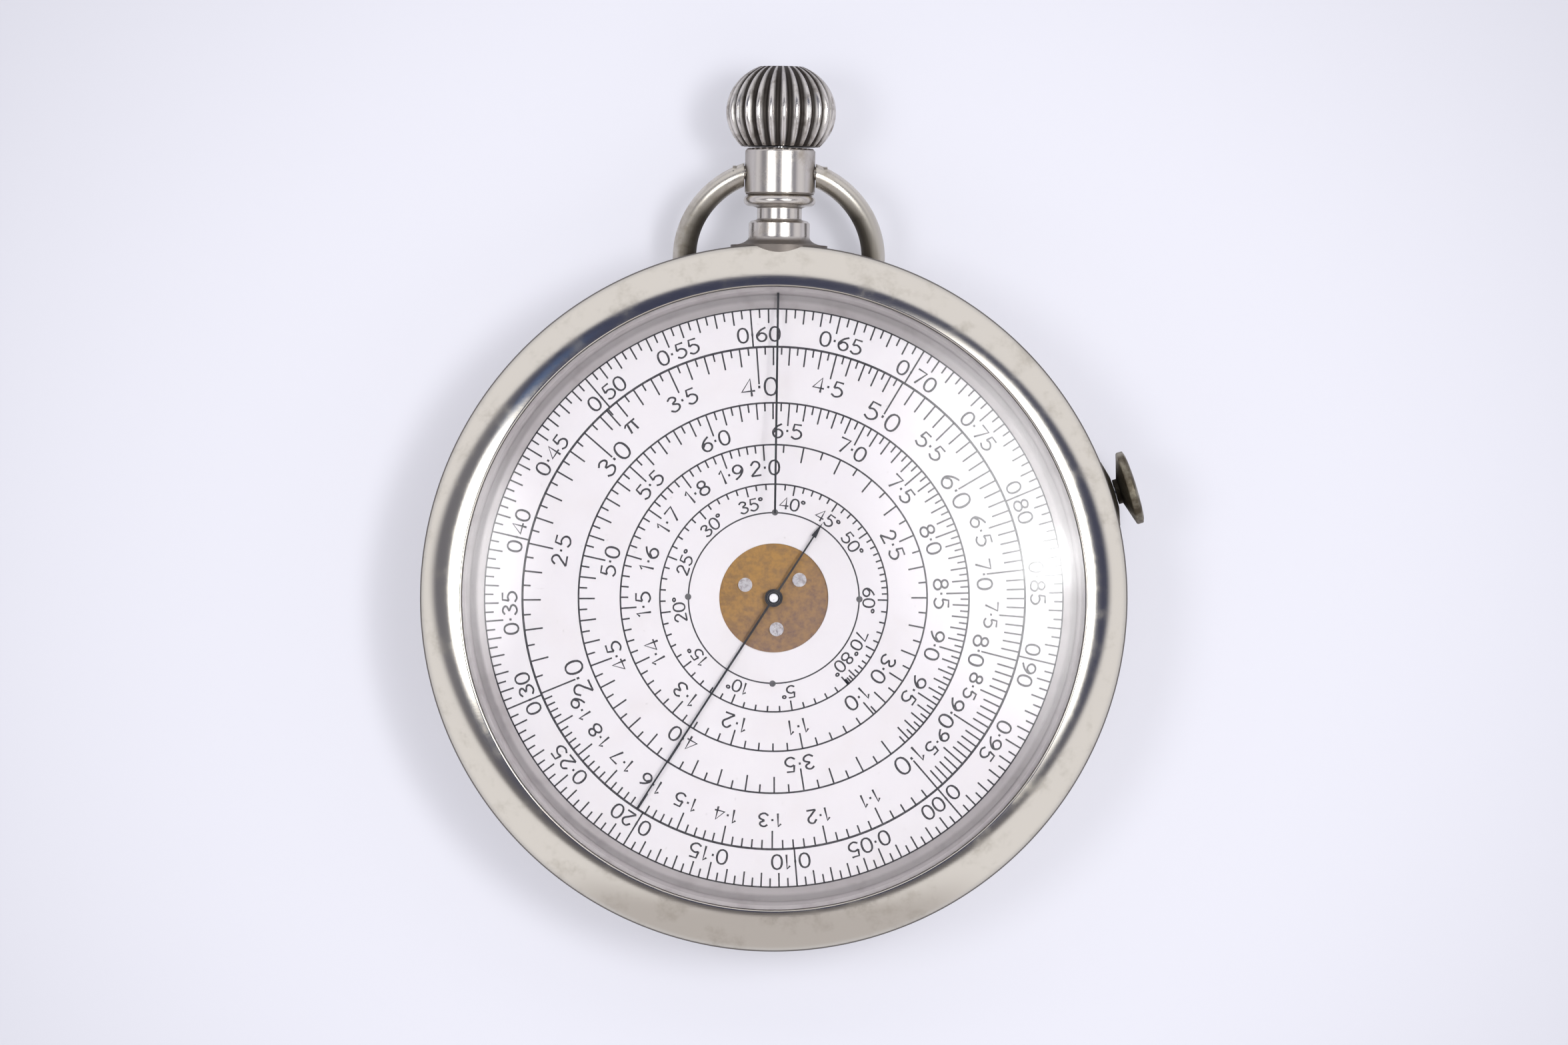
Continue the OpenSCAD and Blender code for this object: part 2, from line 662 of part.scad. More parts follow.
module dial_card() {
  color("#ece6ee") difference() {
    translate([0, 0, dial_top]) cylinder(r = dial_r, h = card_t);
    translate([0, 0, dial_top - over]) {
      cylinder(r = card_hole_r, h = card_t + 2 * over);
      ring_of(rivet_n, rivet_at) cylinder(r = rivet_r + set_fit, h = card_t + 2 * over);
    }
  }
}

module dial_rivets() {
  color("#8e8c90") ring_of(rivet_n, rivet_at) translate([0, 0, dial_low - web_t])
    cylinder(r = rivet_r, h = web_t + dial_plate_t + card_t + rivet_proud);
}

module dial_hub() {
  color("#b08d4a") difference() {
    union() {
      translate([0, 0, hub_low]) cylinder(r = hub_r, h = dial_low - hub_low);
      translate([0, 0, dial_low - hub_flange_t]) cylinder(r = hub_flange_r, h = hub_flange_t);
    }
    translate([0, 0, hub_low - over])
      cylinder(r = post_r + run_fit, h = dial_low - hub_low + 2 * over);
    translate([0, 0, dial_low - hub_flange_t - over])
      ring_of(hub_screw_n, hub_screw_at, hub_screw_turn)
        cylinder(r = hub_shank_r + set_fit, h = hub_flange_t + 2 * over);
  }
}

module hub_screws() {
  color("#c8c8c8") translate([0, 0, dial_top])
    ring_of(hub_screw_n, hub_screw_at, hub_screw_turn)
      screw(hub_head_r, hub_head_h, hub_shank_r, dial_plate_t + hub_flange_t);
}

// Wheel with crown teeth that hang down to the crown's pinion, riveted under the dial plate
module dial_wheel() {
  rim_in_r = dial_wheel_r - dial_face / 2 - rim_margin;
  rim_out_r = dial_wheel_r + dial_face / 2 + rim_margin;
  color("#b08d4a") difference() {
    union() {
      rotate_extrude() polygon([
        [hub_flange_r + gap, dial_low - web_t], [rim_in_r, dial_low - web_t],
        [rim_in_r, dial_root_z], [rim_out_r, dial_root_z], [rim_out_r, dial_low],
        [hub_flange_r + gap, dial_low]]);
      translate([0, 0, dial_root_z]) mirror([0, 0, 1]) rotate(90)
        crown_teeth(dial_teeth, dial_wheel_r, dial_face);
    }
    translate([0, 0, dial_low - web_t - over]) ring_of(rivet_n, rivet_at)
      cylinder(r = rivet_r + set_fit, h = web_t + 2 * over);
  }
}

// Outline radius of the crown at a height above its lower face
function crown_curve(h) =
  max(crown_flat_r, crown_r * sqrt(max(0, 1 - ((h - crown_belly) / crown_half) ^ 2)));
function crown_height(i) = crown_h * (1 - cos(180 * i / (crown_rings - 1))) / 2;
function flute_r(r, a) = r - flute_depth * r / crown_r * (0.5 - 0.5 * cos(a * flutes));

// Round fluted crown, bored from below for its stem
module crown() {
  n = flutes * flute_steps;
  m = crown_rings;
  points = concat(
    [for (i = [0:m - 1], k = [0:n - 1]) let (a = 360 * k / n, h = crown_height(i),
      q = polar(flute_r(crown_curve(h), a), a)) [q.x, q.y, crown_low + h]],
    [[0, 0, crown_low], [0, 0, crown_low + crown_h]]);
  faces = concat(
    [for (i = [0:m - 2], k = [0:n - 1]) [i * n + k, (i + 1) * n + (k + 1) % n, i * n + (k + 1) % n]],
    [for (i = [0:m - 2], k = [0:n - 1]) [i * n + k, (i + 1) * n + k, (i + 1) * n + (k + 1) % n]],
    [for (k = [0:n - 1]) [m * n, k, (k + 1) % n]],
    [for (k = [0:n - 1]) [m * n + 1, (m - 1) * n + (k + 1) % n, (m - 1) * n + k]]);
  color("#b5b0a9") on_crown_axis() difference() {
    polyhedron(points, faces);
    translate([0, 0, crown_low - over]) cylinder(r = stem_r + set_fit, h = crown_hole + over);
  }
}

module crown_stem() {
  inner = dial_wheel_r - dial_face / 2 - gap / 2;
  color("#9aa0a6") on_crown_axis() translate([0, 0, inner])
    cylinder(r = stem_r, h = crown_low + crown_hole - set_fit - inner);
}

module crown_pinion() {
  color("#9aa0a6") on_crown_axis() translate([0, 0, dial_wheel_r]) rotate(-90) pinion(dial_face);
}

// Turned knob with a thin neck that flares to a domed rim
module side_knob() {
  color("#7d766b") on_side_axis() difference() {
    rotate_extrude() polygon(concat(
      [[0, knob_low], [knob_neck_r, knob_low], [knob_neck_r, knob_flare_low],
       [knob_r, knob_rim_low], [knob_r, knob_face]],
      arc([0, knob_face], knob_r - seam, knob_dome, 0, 90, 8)));
    translate([0, 0, knob_low - over])
      cylinder(r = stem_r + set_fit, h = knob_rim_low - knob_low + over);
  }
}

module side_stem() {
  inner = cursor_wheel_r - cursor_face / 2 - gap / 2;
  color("#9aa0a6") on_side_axis() translate([0, 0, inner])
    cylinder(r = stem_r, h = knob_rim_low - set_fit - inner);
}

module side_pinion() {
  color("#9aa0a6") on_side_axis() translate([0, 0, cursor_wheel_r]) pinion(cursor_face);
}

// Thin hand with a long reading end and a short arrow
module cursor_hand() {
  arrow_low = arrow_tip - arrow_l;
  color("#1c1c22") translate([0, 0, hand_z]) rotate(hand_turn) linear_extrude(hand_t)
    difference() {
      union() {
        circle(hand_eye_r);
        polygon([
          [hand_l, -hand_tip_w / 2], [hand_l, hand_tip_w / 2], [0, hand_w / 2],
          [-arrow_low, hand_tip_w / 2], [-arrow_low, arrow_w / 2], [-arrow_tip, 0],
          [-arrow_low, -arrow_w / 2], [-arrow_low, -hand_tip_w / 2], [0, -hand_w / 2]]);
      }
      circle(arbor_tip_r + collet_wall + 2 * set_fit);
    }
}

module hand_collet() {
  low = dial_top + gap;
  color("#26262c") translate([0, 0, low]) difference() {
    cylinder(r = arbor_tip_r + collet_wall + set_fit, h = hand_z + 2 * hand_t - low);
    translate([0, 0, -over])
      cylinder(r = arbor_tip_r + set_fit, h = hand_z + 2 * hand_t - low + 2 * over);
  }
}

module cursor_arbor() {
  step_z = dial_top + gap - set_fit;
  color("#c2c4c8") union() {
    translate([0, 0, cursor_low]) cylinder(r = arbor_r, h = step_z - cursor_low);
    translate([0, 0, step_z - sink]) cylinder(r = arbor_tip_r, h = hand_z + 2 * hand_t + sink - step_z);
  }
}

// Wheel with crown teeth that stand up to the side knob's pinion
module cursor_wheel() {
  rim_in_r = cursor_wheel_r - cursor_face / 2 - rim_margin;
  rim_out_r = cursor_wheel_r + cursor_face / 2 + rim_margin;
  color("#b08d4a") union() {
    rotate_extrude() polygon([
      [arbor_r + set_fit, cursor_low], [rim_out_r, cursor_low], [rim_out_r, cursor_root_z],
      [rim_in_r, cursor_root_z], [rim_in_r, cursor_low + web_t],
      [cursor_hub_r, cursor_low + web_t], [cursor_hub_r, cursor_hub_top],
      [arbor_r + set_fit, cursor_hub_top]]);
    translate([0, 0, cursor_root_z]) rotate(side_turn)
      crown_teeth(cursor_teeth, cursor_wheel_r, cursor_face);
  }
}

// Wire ring with pivot pins that enter the pendant's barrel
module bow() {
  pin_l = bow_end_x - barrel_r + pivot_in + bow_wire_r;
  color("#c0bcb6") translate([0, pivot_y, stem_z]) rotate([bow_tilt, 0, 0]) union() {
    difference() {
      translate([0, -bow_drop, 0]) rotate_extrude() translate([bow_r, 0]) circle(bow_wire_r);
      translate([-bow_end_x, -bow_drop, -2 * bow_wire_r])
        cube([2 * bow_end_x, bow_reach, 4 * bow_wire_r]);
    }
    for (side = [-1, 1]) translate([side * (barrel_r - pivot_in + pin_l / 2), 0, 0])
      rotate([0, 90, 0]) cylinder(r = pivot_r, h = pin_l, center = true);
  }
}

case_band();
back_cover();
bezel();
crystal();
index_line();
dial_surround();
pendant();
stem_sleeve();
side_bush();
main_plate();
plate_screws();
centre_post();
dial_spring();
cursor_spring();
crown_bridge();
side_bridge();
bridge_screws();
dial_plate();
dial_card();
dial_rivets();
dial_hub();
hub_screws();
dial_wheel();
crown();
crown_stem();
crown_pinion();
side_knob();
side_stem();
side_pinion();
cursor_hand();
hand_collet();
cursor_arbor();
cursor_wheel();
bow();
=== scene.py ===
import math

import bmesh
import bpy
from mathutils import Matrix, Vector


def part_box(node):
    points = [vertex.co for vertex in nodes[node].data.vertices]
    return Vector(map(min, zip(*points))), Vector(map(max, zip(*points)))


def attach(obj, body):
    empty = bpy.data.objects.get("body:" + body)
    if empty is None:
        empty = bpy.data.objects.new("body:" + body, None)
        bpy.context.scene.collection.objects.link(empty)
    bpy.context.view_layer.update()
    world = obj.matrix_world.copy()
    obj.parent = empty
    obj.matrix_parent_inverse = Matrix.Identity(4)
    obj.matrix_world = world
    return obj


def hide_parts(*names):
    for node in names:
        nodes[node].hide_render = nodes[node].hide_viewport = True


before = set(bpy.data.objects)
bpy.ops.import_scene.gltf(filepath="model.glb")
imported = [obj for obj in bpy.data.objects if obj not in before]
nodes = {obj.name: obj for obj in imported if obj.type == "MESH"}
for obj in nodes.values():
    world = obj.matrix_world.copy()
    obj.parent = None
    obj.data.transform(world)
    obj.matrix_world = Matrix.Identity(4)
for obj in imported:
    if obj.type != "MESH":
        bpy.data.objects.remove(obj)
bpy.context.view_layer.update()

# The band is the turned ring between the back and the bezel. It carries the plate on an inner
# ledge and is drilled for the crown's sleeve and the side knob's bush. It is nickel-plated brass,
# polished once and dulled by handling.
MM = 0.001
CASE_R = 33.5
BAND_LOW = 5.7
BAND_TOP = 9.1
BAND_WALL = 1.6
CHAMFER = 0.2
STEM_Z = 7.4


def arc_points(middle, width, height, start, end, count):
    angles = [math.radians(start + (end - start) * i / count) for i in range(count + 1)]
    return [(middle[0] + width * math.cos(a), middle[1] + height * math.sin(a)) for a in angles]


def turned(outline, steps, rounds=None, closed=True):
    bm = bmesh.new()
    corners = [bm.verts.new((r * MM, 0, z * MM)) for r, z in outline]
    for a, b in zip(corners, corners[1:]):
        bm.edges.new((a, b))
    if closed:
        bm.edges.new((corners[-1], corners[0]))
    for corner, radius in (rounds or {}).items():
        bmesh.ops.bevel(bm, geom=[corners[corner]], offset=radius * MM, segments=5, profile=0.5,
                        affect="VERTICES", material=-1)
    bmesh.ops.spin(bm, geom=bm.verts[:] + bm.edges[:], axis=(0, 0, 1), cent=(0, 0, 0),
                   dvec=(0, 0, 0), angle=2 * math.pi, steps=steps, use_merge=True)
    bmesh.ops.remove_doubles(bm, verts=bm.verts, dist=1e-7)
    bmesh.ops.recalc_face_normals(bm, faces=bm.faces)
    return bm


def finished(name, bm, material, body, stands_for=(), sharp=40):
    mesh = bpy.data.meshes.new(name)
    bm.to_mesh(mesh)
    bm.free()
    mesh.shade_smooth()
    mesh.set_sharp_from_angle(angle=math.radians(sharp))
    mesh.materials.append(material)
    piece = bpy.data.objects.new(name, mesh)
    bpy.context.scene.collection.objects.link(piece)
    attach(piece, body)
    if stands_for:
        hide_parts(*stands_for)


def add(tree, kind, inputs=None, **settings):
    made = tree.nodes.new(kind)
    for name, value in settings.items():
        setattr(made, name, value)
    for name, value in (inputs or {}).items():
        if isinstance(value, bpy.types.NodeSocket):
            tree.links.new(value, made.inputs[name])
        else:
            made.inputs[name].default_value = value
    return made


# Handling and tarnish: soft blotches between a clean and a stained colour, with fine hairlines.
handling = bpy.data.node_groups.new("handling", "ShaderNodeTree")
for name, kind, value in (
    ("Clean", "NodeSocketColor", (0.8, 0.8, 0.8, 1)),
    ("Stained", "NodeSocketColor", (0.4, 0.4, 0.4, 1)),
    ("Blotch Scale", "NodeSocketFloat", 300),
    ("Stain From", "NodeSocketFloat", 0.5),
    ("Stain To", "NodeSocketFloat", 0.7),
    ("Polish", "NodeSocketFloat", 0.2),
    ("Dulling", "NodeSocketFloat", 0.2),
):
    handling.interface.new_socket(name, in_out="INPUT", socket_type=kind).default_value = value
handling.interface.new_socket("Colour", in_out="OUTPUT", socket_type="NodeSocketColor")
handling.interface.new_socket("Roughness", in_out="OUTPUT", socket_type="NodeSocketFloat")
handling.interface.new_socket("Height", in_out="OUTPUT", socket_type="NodeSocketFloat")
given = add(handling, "NodeGroupInput").outputs
place = add(handling, "ShaderNodeTexCoord").outputs["Object"]
blotch = add(handling, "ShaderNodeTexNoise", {
    "Vector": place, "Scale": given["Blotch Scale"], "Detail": 6, "Roughness": 0.62})
stain = add(handling, "ShaderNodeMapRange", {
    "Value": blotch.outputs["Fac"], "From Min": given["Stain From"], "From Max": given["Stain To"]},
    interpolation_type="SMOOTHSTEP")
colour = add(handling, "ShaderNodeMix", {
    "Factor": stain.outputs["Result"], "A": given["Clean"], "B": given["Stained"]}, data_type="RGBA")
drawn = add(handling, "ShaderNodeMapping", {
    "Vector": place, "Rotation": (0.3, 0.5, 0.9), "Scale": (400, 9000, 9000)})
hairline = add(handling, "ShaderNodeTexNoise", {
    "Vector": drawn.outputs["Vector"], "Scale": 1, "Detail": 3, "Roughness": 0.7})
dull = add(handling, "ShaderNodeMath", {
    0: stain.outputs["Result"], 1: given["Dulling"], 2: given["Polish"]}, operation="MULTIPLY_ADD")
rough = add(handling, "ShaderNodeMath", {
    0: hairline.outputs["Fac"], 1: 0.06, 2: dull.outputs["Value"]}, operation="MULTIPLY_ADD")
put = add(handling, "NodeGroupOutput").inputs
handling.links.new(colour.outputs["Result"], put["Colour"])
handling.links.new(rough.outputs["Value"], put["Roughness"])
handling.links.new(hairline.outputs["Fac"], put["Height"])


def handled_metal(name, clean, stained, scale, stain, polish, dulling, metallic=1.0, grain=0.004):
    material = bpy.data.materials.new(name)
    material.use_nodes = True
    tree = material.node_tree
    metal = tree.nodes["Principled BSDF"]
    wear = add(tree, "ShaderNodeGroup", node_tree=handling)
    values = {"Clean": (*clean, 1), "Stained": (*stained, 1), "Blotch Scale": scale,
              "Stain From": stain[0], "Stain To": stain[1], "Polish": polish, "Dulling": dulling}
    for socket, value in values.items():
        wear.inputs[socket].default_value = value
    bump = add(tree, "ShaderNodeBump", {
        "Height": wear.outputs["Height"], "Strength": 0.25, "Distance": grain * MM})
    metal.inputs["Metallic"].default_value = metallic
    tree.links.new(wear.outputs["Colour"], metal.inputs["Base Color"])
    tree.links.new(wear.outputs["Roughness"], metal.inputs["Roughness"])
    tree.links.new(bump.outputs["Normal"], metal.inputs["Normal"])
    return material


# Darkens and roughens a material where a mesh attribute is set. It paints shade on most parts, and dirt
# as well as shade in the crown's valleys.
def shade_and_grime(material, attribute, start, end, most, dark):
    tree = material.node_tree
    metal = tree.nodes["Principled BSDF"]
    worn = metal.inputs["Base Color"].links[0].from_socket
    depth = add(tree, "ShaderNodeAttribute", attribute_name=attribute)
    shade_and_dirt = add(tree, "ShaderNodeMapRange", {
        "Value": depth.outputs["Fac"], "From Min": start, "From Max": end, "To Max": most})
    darkened = add(tree, "ShaderNodeMix", {
        "Factor": shade_and_dirt.outputs["Result"], "A": worn, "B": (*dark, 1)}, data_type="RGBA")
    matt = add(tree, "ShaderNodeMath", {
        0: shade_and_dirt.outputs["Result"], 1: 0.35, 2: metal.inputs["Roughness"].links[0].from_socket},
        operation="MULTIPLY_ADD")
    tree.links.new(darkened.outputs["Result"], metal.inputs["Base Color"])
    tree.links.new(matt.outputs["Value"], metal.inputs["Roughness"])


case_nickel = handled_metal("case_nickel", (0.66, 0.62, 0.56), (0.48, 0.43, 0.37), 240,
                            (0.52, 0.80), 0.18, 0.14)
band_in = CASE_R - BAND_WALL
band = turned([(band_in, BAND_LOW), (CASE_R - CHAMFER, BAND_LOW), (CASE_R, BAND_LOW + CHAMFER),
               (CASE_R, BAND_TOP - CHAMFER), (CASE_R - CHAMFER, BAND_TOP), (band_in, BAND_TOP)], 256)
finished("case_band_turned", band, case_nickel, "case", ["case_band"])

# The plate and its works turn the dial and the hand: brass plate, bridges, hub and wheels, steel
# stems, pinions and post, blued screws and hard brass washers. They are milled and cut, and lie
# inside the case, so they keep the solids' shapes and get only their finish.
works_brass = handled_metal("works_brass", (0.72, 0.52, 0.24), (0.42, 0.28, 0.12), 420,
                            (0.50, 0.75), 0.28, 0.2)
works_steel = handled_metal("works_steel", (0.56, 0.57, 0.58), (0.36, 0.35, 0.33), 500,
                            (0.52, 0.78), 0.2, 0.2)
screw_blue = handled_metal("screw_blue", (0.10, 0.14, 0.30), (0.05, 0.06, 0.10), 900,
                           (0.50, 0.75), 0.22, 0.15)
spring_brass = handled_metal("spring_brass", (0.76, 0.60, 0.30), (0.50, 0.36, 0.16), 700,
                             (0.52, 0.78), 0.24, 0.15)


def dressed(material, *names):
    for name in names:
        nodes[name].data.materials.clear()
        nodes[name].data.materials.append(material)


dressed(works_brass, "main_plate", "crown_bridge", "side_bridge", "dial_hub", "dial_wheel",
        "cursor_wheel", "stem_sleeve")
dressed(works_steel, "centre_post", "crown_stem", "crown_pinion", "side_stem", "side_pinion")
dressed(screw_blue, "plate_screws", "bridge_screws")
dressed(spring_brass, "dial_spring", "cursor_spring")

# The dial plate is a disc cut from sheet brass and screwed to the hub. Only its middle shows,
# through the hole in the card, where it has gone brown and mottled round the hand.
DIAL_R = 28.65
PLATE_BORE = 0.7
plate_low, plate_high = (v.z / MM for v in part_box("dial_plate"))
plate_brass = handled_metal("plate_brass", (0.37, 0.213, 0.078), (0.235, 0.145, 0.08), 1900,
                            (0.34, 0.72), 0.42, 0.14, 0.8, 0.02)
tree = plate_brass.node_tree
surface = tree.nodes["Principled BSDF"]
# A tint runs across the middle, warmer towards one side and bluer towards the other.
across = add(tree, "ShaderNodeVectorMath", {
    0: add(tree, "ShaderNodeTexCoord").outputs["Object"], 1: (0.6, -0.8, 0)}, operation="DOT_PRODUCT")
across_tint = add(tree, "ShaderNodeMapRange", {
    "Value": across.outputs["Value"], "From Min": -3.5 * MM, "From Max": 4 * MM},
    interpolation_type="SMOOTHSTEP")
tint = add(tree, "ShaderNodeMix", {
    "Factor": across_tint.outputs["Result"], "A": (1.0, 0.98, 0.85, 1), "B": (0.82, 0.88, 1.3, 1)},
    data_type="RGBA")
tinted = add(tree, "ShaderNodeMix", {
    "Factor": 1, "A": surface.inputs["Base Color"].links[0].from_socket, "B": tint.outputs["Result"]},
    data_type="RGBA", blend_type="MULTIPLY")
tree.links.new(tinted.outputs["Result"], surface.inputs["Base Color"])
plate = turned([(PLATE_BORE, plate_low), (DIAL_R, plate_low), (DIAL_R, plate_high),
                (PLATE_BORE, plate_high)], 128)
finished("dial_plate_brass", plate, plate_brass, "dial", ["dial_plate"])

# The card is the white dial that carries the scales. It is a thin coated disc with a round hole,
# glued on the plate, a little toned and specked with age.
CARD_HOLE = 5.15
card_low, card_high = (v.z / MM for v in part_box("dial_card"))
card_white = bpy.data.materials.new("card_white")
card_white.use_nodes = True
tree = card_white.node_tree
surface = tree.nodes["Principled BSDF"]
aged = add(tree, "ShaderNodeGroup", node_tree=handling)
for socket, value in {"Clean": (0.92, 0.88, 0.91, 1), "Stained": (0.87, 0.82, 0.83, 1),
                      "Blotch Scale": 160, "Stain From": 0.45, "Stain To": 0.85,
                      "Polish": 0.38, "Dulling": 0.12}.items():
    aged.inputs[socket].default_value = value
speck = add(tree, "ShaderNodeTexNoise", {
    "Vector": add(tree, "ShaderNodeTexCoord").outputs["Object"], "Scale": 2600, "Detail": 2})
spots = add(tree, "ShaderNodeMapRange", {
    "Value": speck.outputs["Fac"], "From Min": 0.70, "From Max": 0.80, "To Max": 0.35})
specked = add(tree, "ShaderNodeMix", {
    "Factor": spots.outputs["Result"], "A": aged.outputs["Colour"], "B": (0.42, 0.38, 0.36, 1)},
    data_type="RGBA")
tree.links.new(specked.outputs["Result"], surface.inputs["Base Color"])
tree.links.new(aged.outputs["Roughness"], surface.inputs["Roughness"])
card = turned([(CARD_HOLE, card_low), (DIAL_R, card_low), (DIAL_R, card_high), (CARD_HOLE, card_high)],
              192, {3: 0.06})
finished("dial_card_white", card, card_white, "dial", ["dial_card"])

# The scales are printed in dark grey ink: circles, divisions and thin single-stroke figures.
# From the edge inwards they are an even scale, the number scale, two turns of the root scale
# and a scale of sines, all from one start line and growing clockwise.
START = 311.5
INK_Z = card_high + 0.006
EVEN_R, EVEN_LABEL_R = 27.35, 24.97
NUMBER_R, WHOLE_LABEL_R, HALF_LABEL_R, TENTH_LABEL_R = 23.76, 20.0, 20.6, 21.0
HIGH_ROOT_R, HIGH_LABEL_R = 18.46, 15.85
LOW_ROOT_R, LOW_LABEL_R = 14.5, 12.35
SINE_R, SINE_LABEL_R = 10.77, 9.0
INNER_R = 8.07
ink = bpy.data.materials.new("scale_ink")
ink.use_nodes = True
tree = ink.node_tree
surface = tree.nodes["Principled BSDF"]
surface.inputs["Roughness"].default_value = 0.55
density = add(tree, "ShaderNodeTexNoise", {
    "Vector": add(tree, "ShaderNodeTexCoord").outputs["Object"], "Scale": 3000, "Detail": 3})
thin = add(tree, "ShaderNodeMapRange", {
    "Value": density.outputs["Fac"], "From Min": 0.45, "From Max": 0.80})
shade = add(tree, "ShaderNodeMix", {
    "Factor": thin.outputs["Result"], "A": (0.028, 0.025, 0.030, 1), "B": (0.11, 0.10, 0.11, 1)},
    data_type="RGBA")
tree.links.new(shade.outputs["Result"], surface.inputs["Base Color"])

# Pen strokes of each figure in a box one unit high: points, whether curved, whether a ring.
strokes = {
    "0": [([(0.31, 0), (0.60, 0.5), (0.31, 1), (0.02, 0.5)], True, True)],
    "1": [([(0.16, 0.80), (0.34, 1), (0.34, 0)], False, False)],
    "2": [([(0.05, 0.74), (0.31, 1), (0.57, 0.72), (0.32, 0.34), (0.03, 0)], True, False),
          ([(0.03, 0), (0.60, 0)], False, False)],
    "3": [([(0.06, 0.86), (0.30, 1), (0.54, 0.78), (0.26, 0.55)], True, False),
          ([(0.26, 0.55), (0.60, 0.28), (0.30, 0), (0.02, 0.17)], True, False)],
    "4": [([(0.46, 0), (0.46, 1), (0, 0.30), (0.64, 0.30)], False, False)],
    "5": [([(0.56, 1), (0.14, 1), (0.09, 0.55)], False, False),
          ([(0.09, 0.55), (0.34, 0.63), (0.60, 0.32), (0.30, 0), (0.02, 0.13)], True, False)],
    "6": [([(0.54, 0.97), (0.20, 0.72), (0.03, 0.30), (0.31, 0), (0.58, 0.30), (0.32, 0.58),
            (0.05, 0.36)], True, False)],
    "7": [([(0.02, 1), (0.60, 1), (0.24, 0)], False, False)],
    "8": [([(0.31, 0.54), (0.54, 0.77), (0.31, 1), (0.08, 0.77)], True, True),
          ([(0.31, 0.54), (0.60, 0.27), (0.31, 0), (0.02, 0.27)], True, True)],
    "9": [([(0.08, 0.03), (0.42, 0.28), (0.59, 0.70), (0.31, 1), (0.04, 0.70), (0.30, 0.42),
            (0.57, 0.64)], True, False)],
    ".": [([(0.04, 0.42), (0.04, 0.58)], False, False)],
    "o": [([(0.12, 0.78), (0.23, 0.89), (0.12, 1), (0.01, 0.89)], True, True)],
    "p": [([(0.02, 0.50), (0.14, 0.62), (0.70, 0.62)], False, False),
          ([(0.24, 0.62), (0.16, 0)], False, False), ([(0.50, 0.62), (0.56, 0)], False, False)],
}
FIGURE_STEP = 0.92
FIGURE_MIDDLE = 0.31
STRETCH = 1.2
advance = {"1": 0.62, ".": 0.40, "o": 0.36, "p": 0.90}
middle = {"1": 0.27, ".": 0.04, "o": 0.12, "p": 0.36}


def figure_mesh(sign, pen):
    curve = bpy.data.curves.new("figure", "CURVE")
    curve.dimensions = "3D"
    curve.twist_mode = "Z_UP"
    curve.resolution_u = 4
    curve.extrude = pen / 2
    for points, curved, ring in strokes[sign]:
        line = curve.splines.new("BEZIER" if curved else "POLY")
        if curved:
            line.bezier_points.add(len(points) - 1)
            for knot, (x, y) in zip(line.bezier_points, points):
                knot.co = (x, y, 0)
                knot.handle_left_type = "AUTO"
                knot.handle_right_type = "AUTO"
                knot.tilt = math.pi / 2
        else:
            line.points.add(len(points) - 1)
            for knot, (x, y) in zip(line.points, points):
                knot.co = (x, y, 0, 1)
                knot.tilt = math.pi / 2
        line.use_cyclic_u = ring
    drawn_figure = bpy.data.objects.new("figure", curve)
    bpy.context.scene.collection.objects.link(drawn_figure)
    seen = drawn_figure.evaluated_get(bpy.context.evaluated_depsgraph_get())
    mesh = bpy.data.meshes.new_from_object(seen)
    bpy.data.objects.remove(drawn_figure)
    return mesh


figures = {}
lettering = bmesh.new()


def write(text, radius, angle, height, pen=0.17):
    widths = [advance.get(sign, FIGURE_STEP) for sign in text]
    along = -sum(widths) / 2
    if "." in text:
        along = -sum(widths[:text.index(".")]) - advance["."] / 2
    for sign, width in zip(text, widths):
        key = (sign, height, pen)
        if key not in figures:
            figures[key] = figure_mesh(sign, pen / height)
        turn = math.radians(angle) - (along + width / 2) * height / radius
        spot = Matrix.Rotation(turn - math.pi / 2, 4, "Z")
        spot = spot @ Matrix.Translation((0, radius * MM, INK_Z * MM))
        spot = spot @ Matrix.Diagonal((STRETCH * height * MM, height * MM, 1, 1))
        spot = spot @ Matrix.Translation((-middle.get(sign, FIGURE_MIDDLE), -0.5, 0))
        old = len(lettering.verts)
        lettering.from_mesh(figures[key])
        lettering.verts.ensure_lookup_table()
        bmesh.ops.transform(lettering, matrix=spot, verts=lettering.verts[old:])
        along += width


divisions = bmesh.new()


def tick(radius, angle, length, width=0.155):
    spot = Matrix.Rotation(math.radians(angle), 4, "Z")
    spot = spot @ Matrix.Translation(((radius - length / 2) * MM, 0, INK_Z * MM))
    spot = spot @ Matrix.Diagonal((length * MM, width * MM, 1, 1))
    bmesh.ops.create_grid(divisions, x_segments=1, y_segments=1, size=0.5, matrix=spot)


def circle_line(radius, width):
    ring = bmesh.new()
    inner = ring.verts.new(((radius - width / 2) * MM, 0, INK_Z * MM))
    outer = ring.verts.new(((radius + width / 2) * MM, 0, INK_Z * MM))
    ring.edges.new((inner, outer))
    bmesh.ops.spin(ring, geom=ring.verts[:] + ring.edges[:], axis=(0, 0, 1), cent=(0, 0, 0),
                   dvec=(0, 0, 0), angle=2 * math.pi, steps=240, use_merge=True)
    for face in ring.faces:
        if face.normal.z < 0:
            face.normal_flip()
    mesh = bpy.data.meshes.new("circle_line")
    ring.to_mesh(mesh)
    ring.free()
    divisions.from_mesh(mesh)


for radius, width in ((EVEN_R, 0.16), (NUMBER_R, 0.21), (HIGH_ROOT_R, 0.17), (LOW_ROOT_R, 0.16),
                      (SINE_R, 0.15), (INNER_R, 0.14)):
    circle_line(radius, width)

for i in range(200):
    angle = START - 360 * i / 200
    length = 1.35 if i % 2 == 0 else 0.85
    if i % 10 == 0:
        length = 3.55 if i % 20 == 0 else 1.7
        write("%.2f" % (i / 200), EVEN_LABEL_R, angle, 1.35)
    tick(EVEN_R, angle, length)

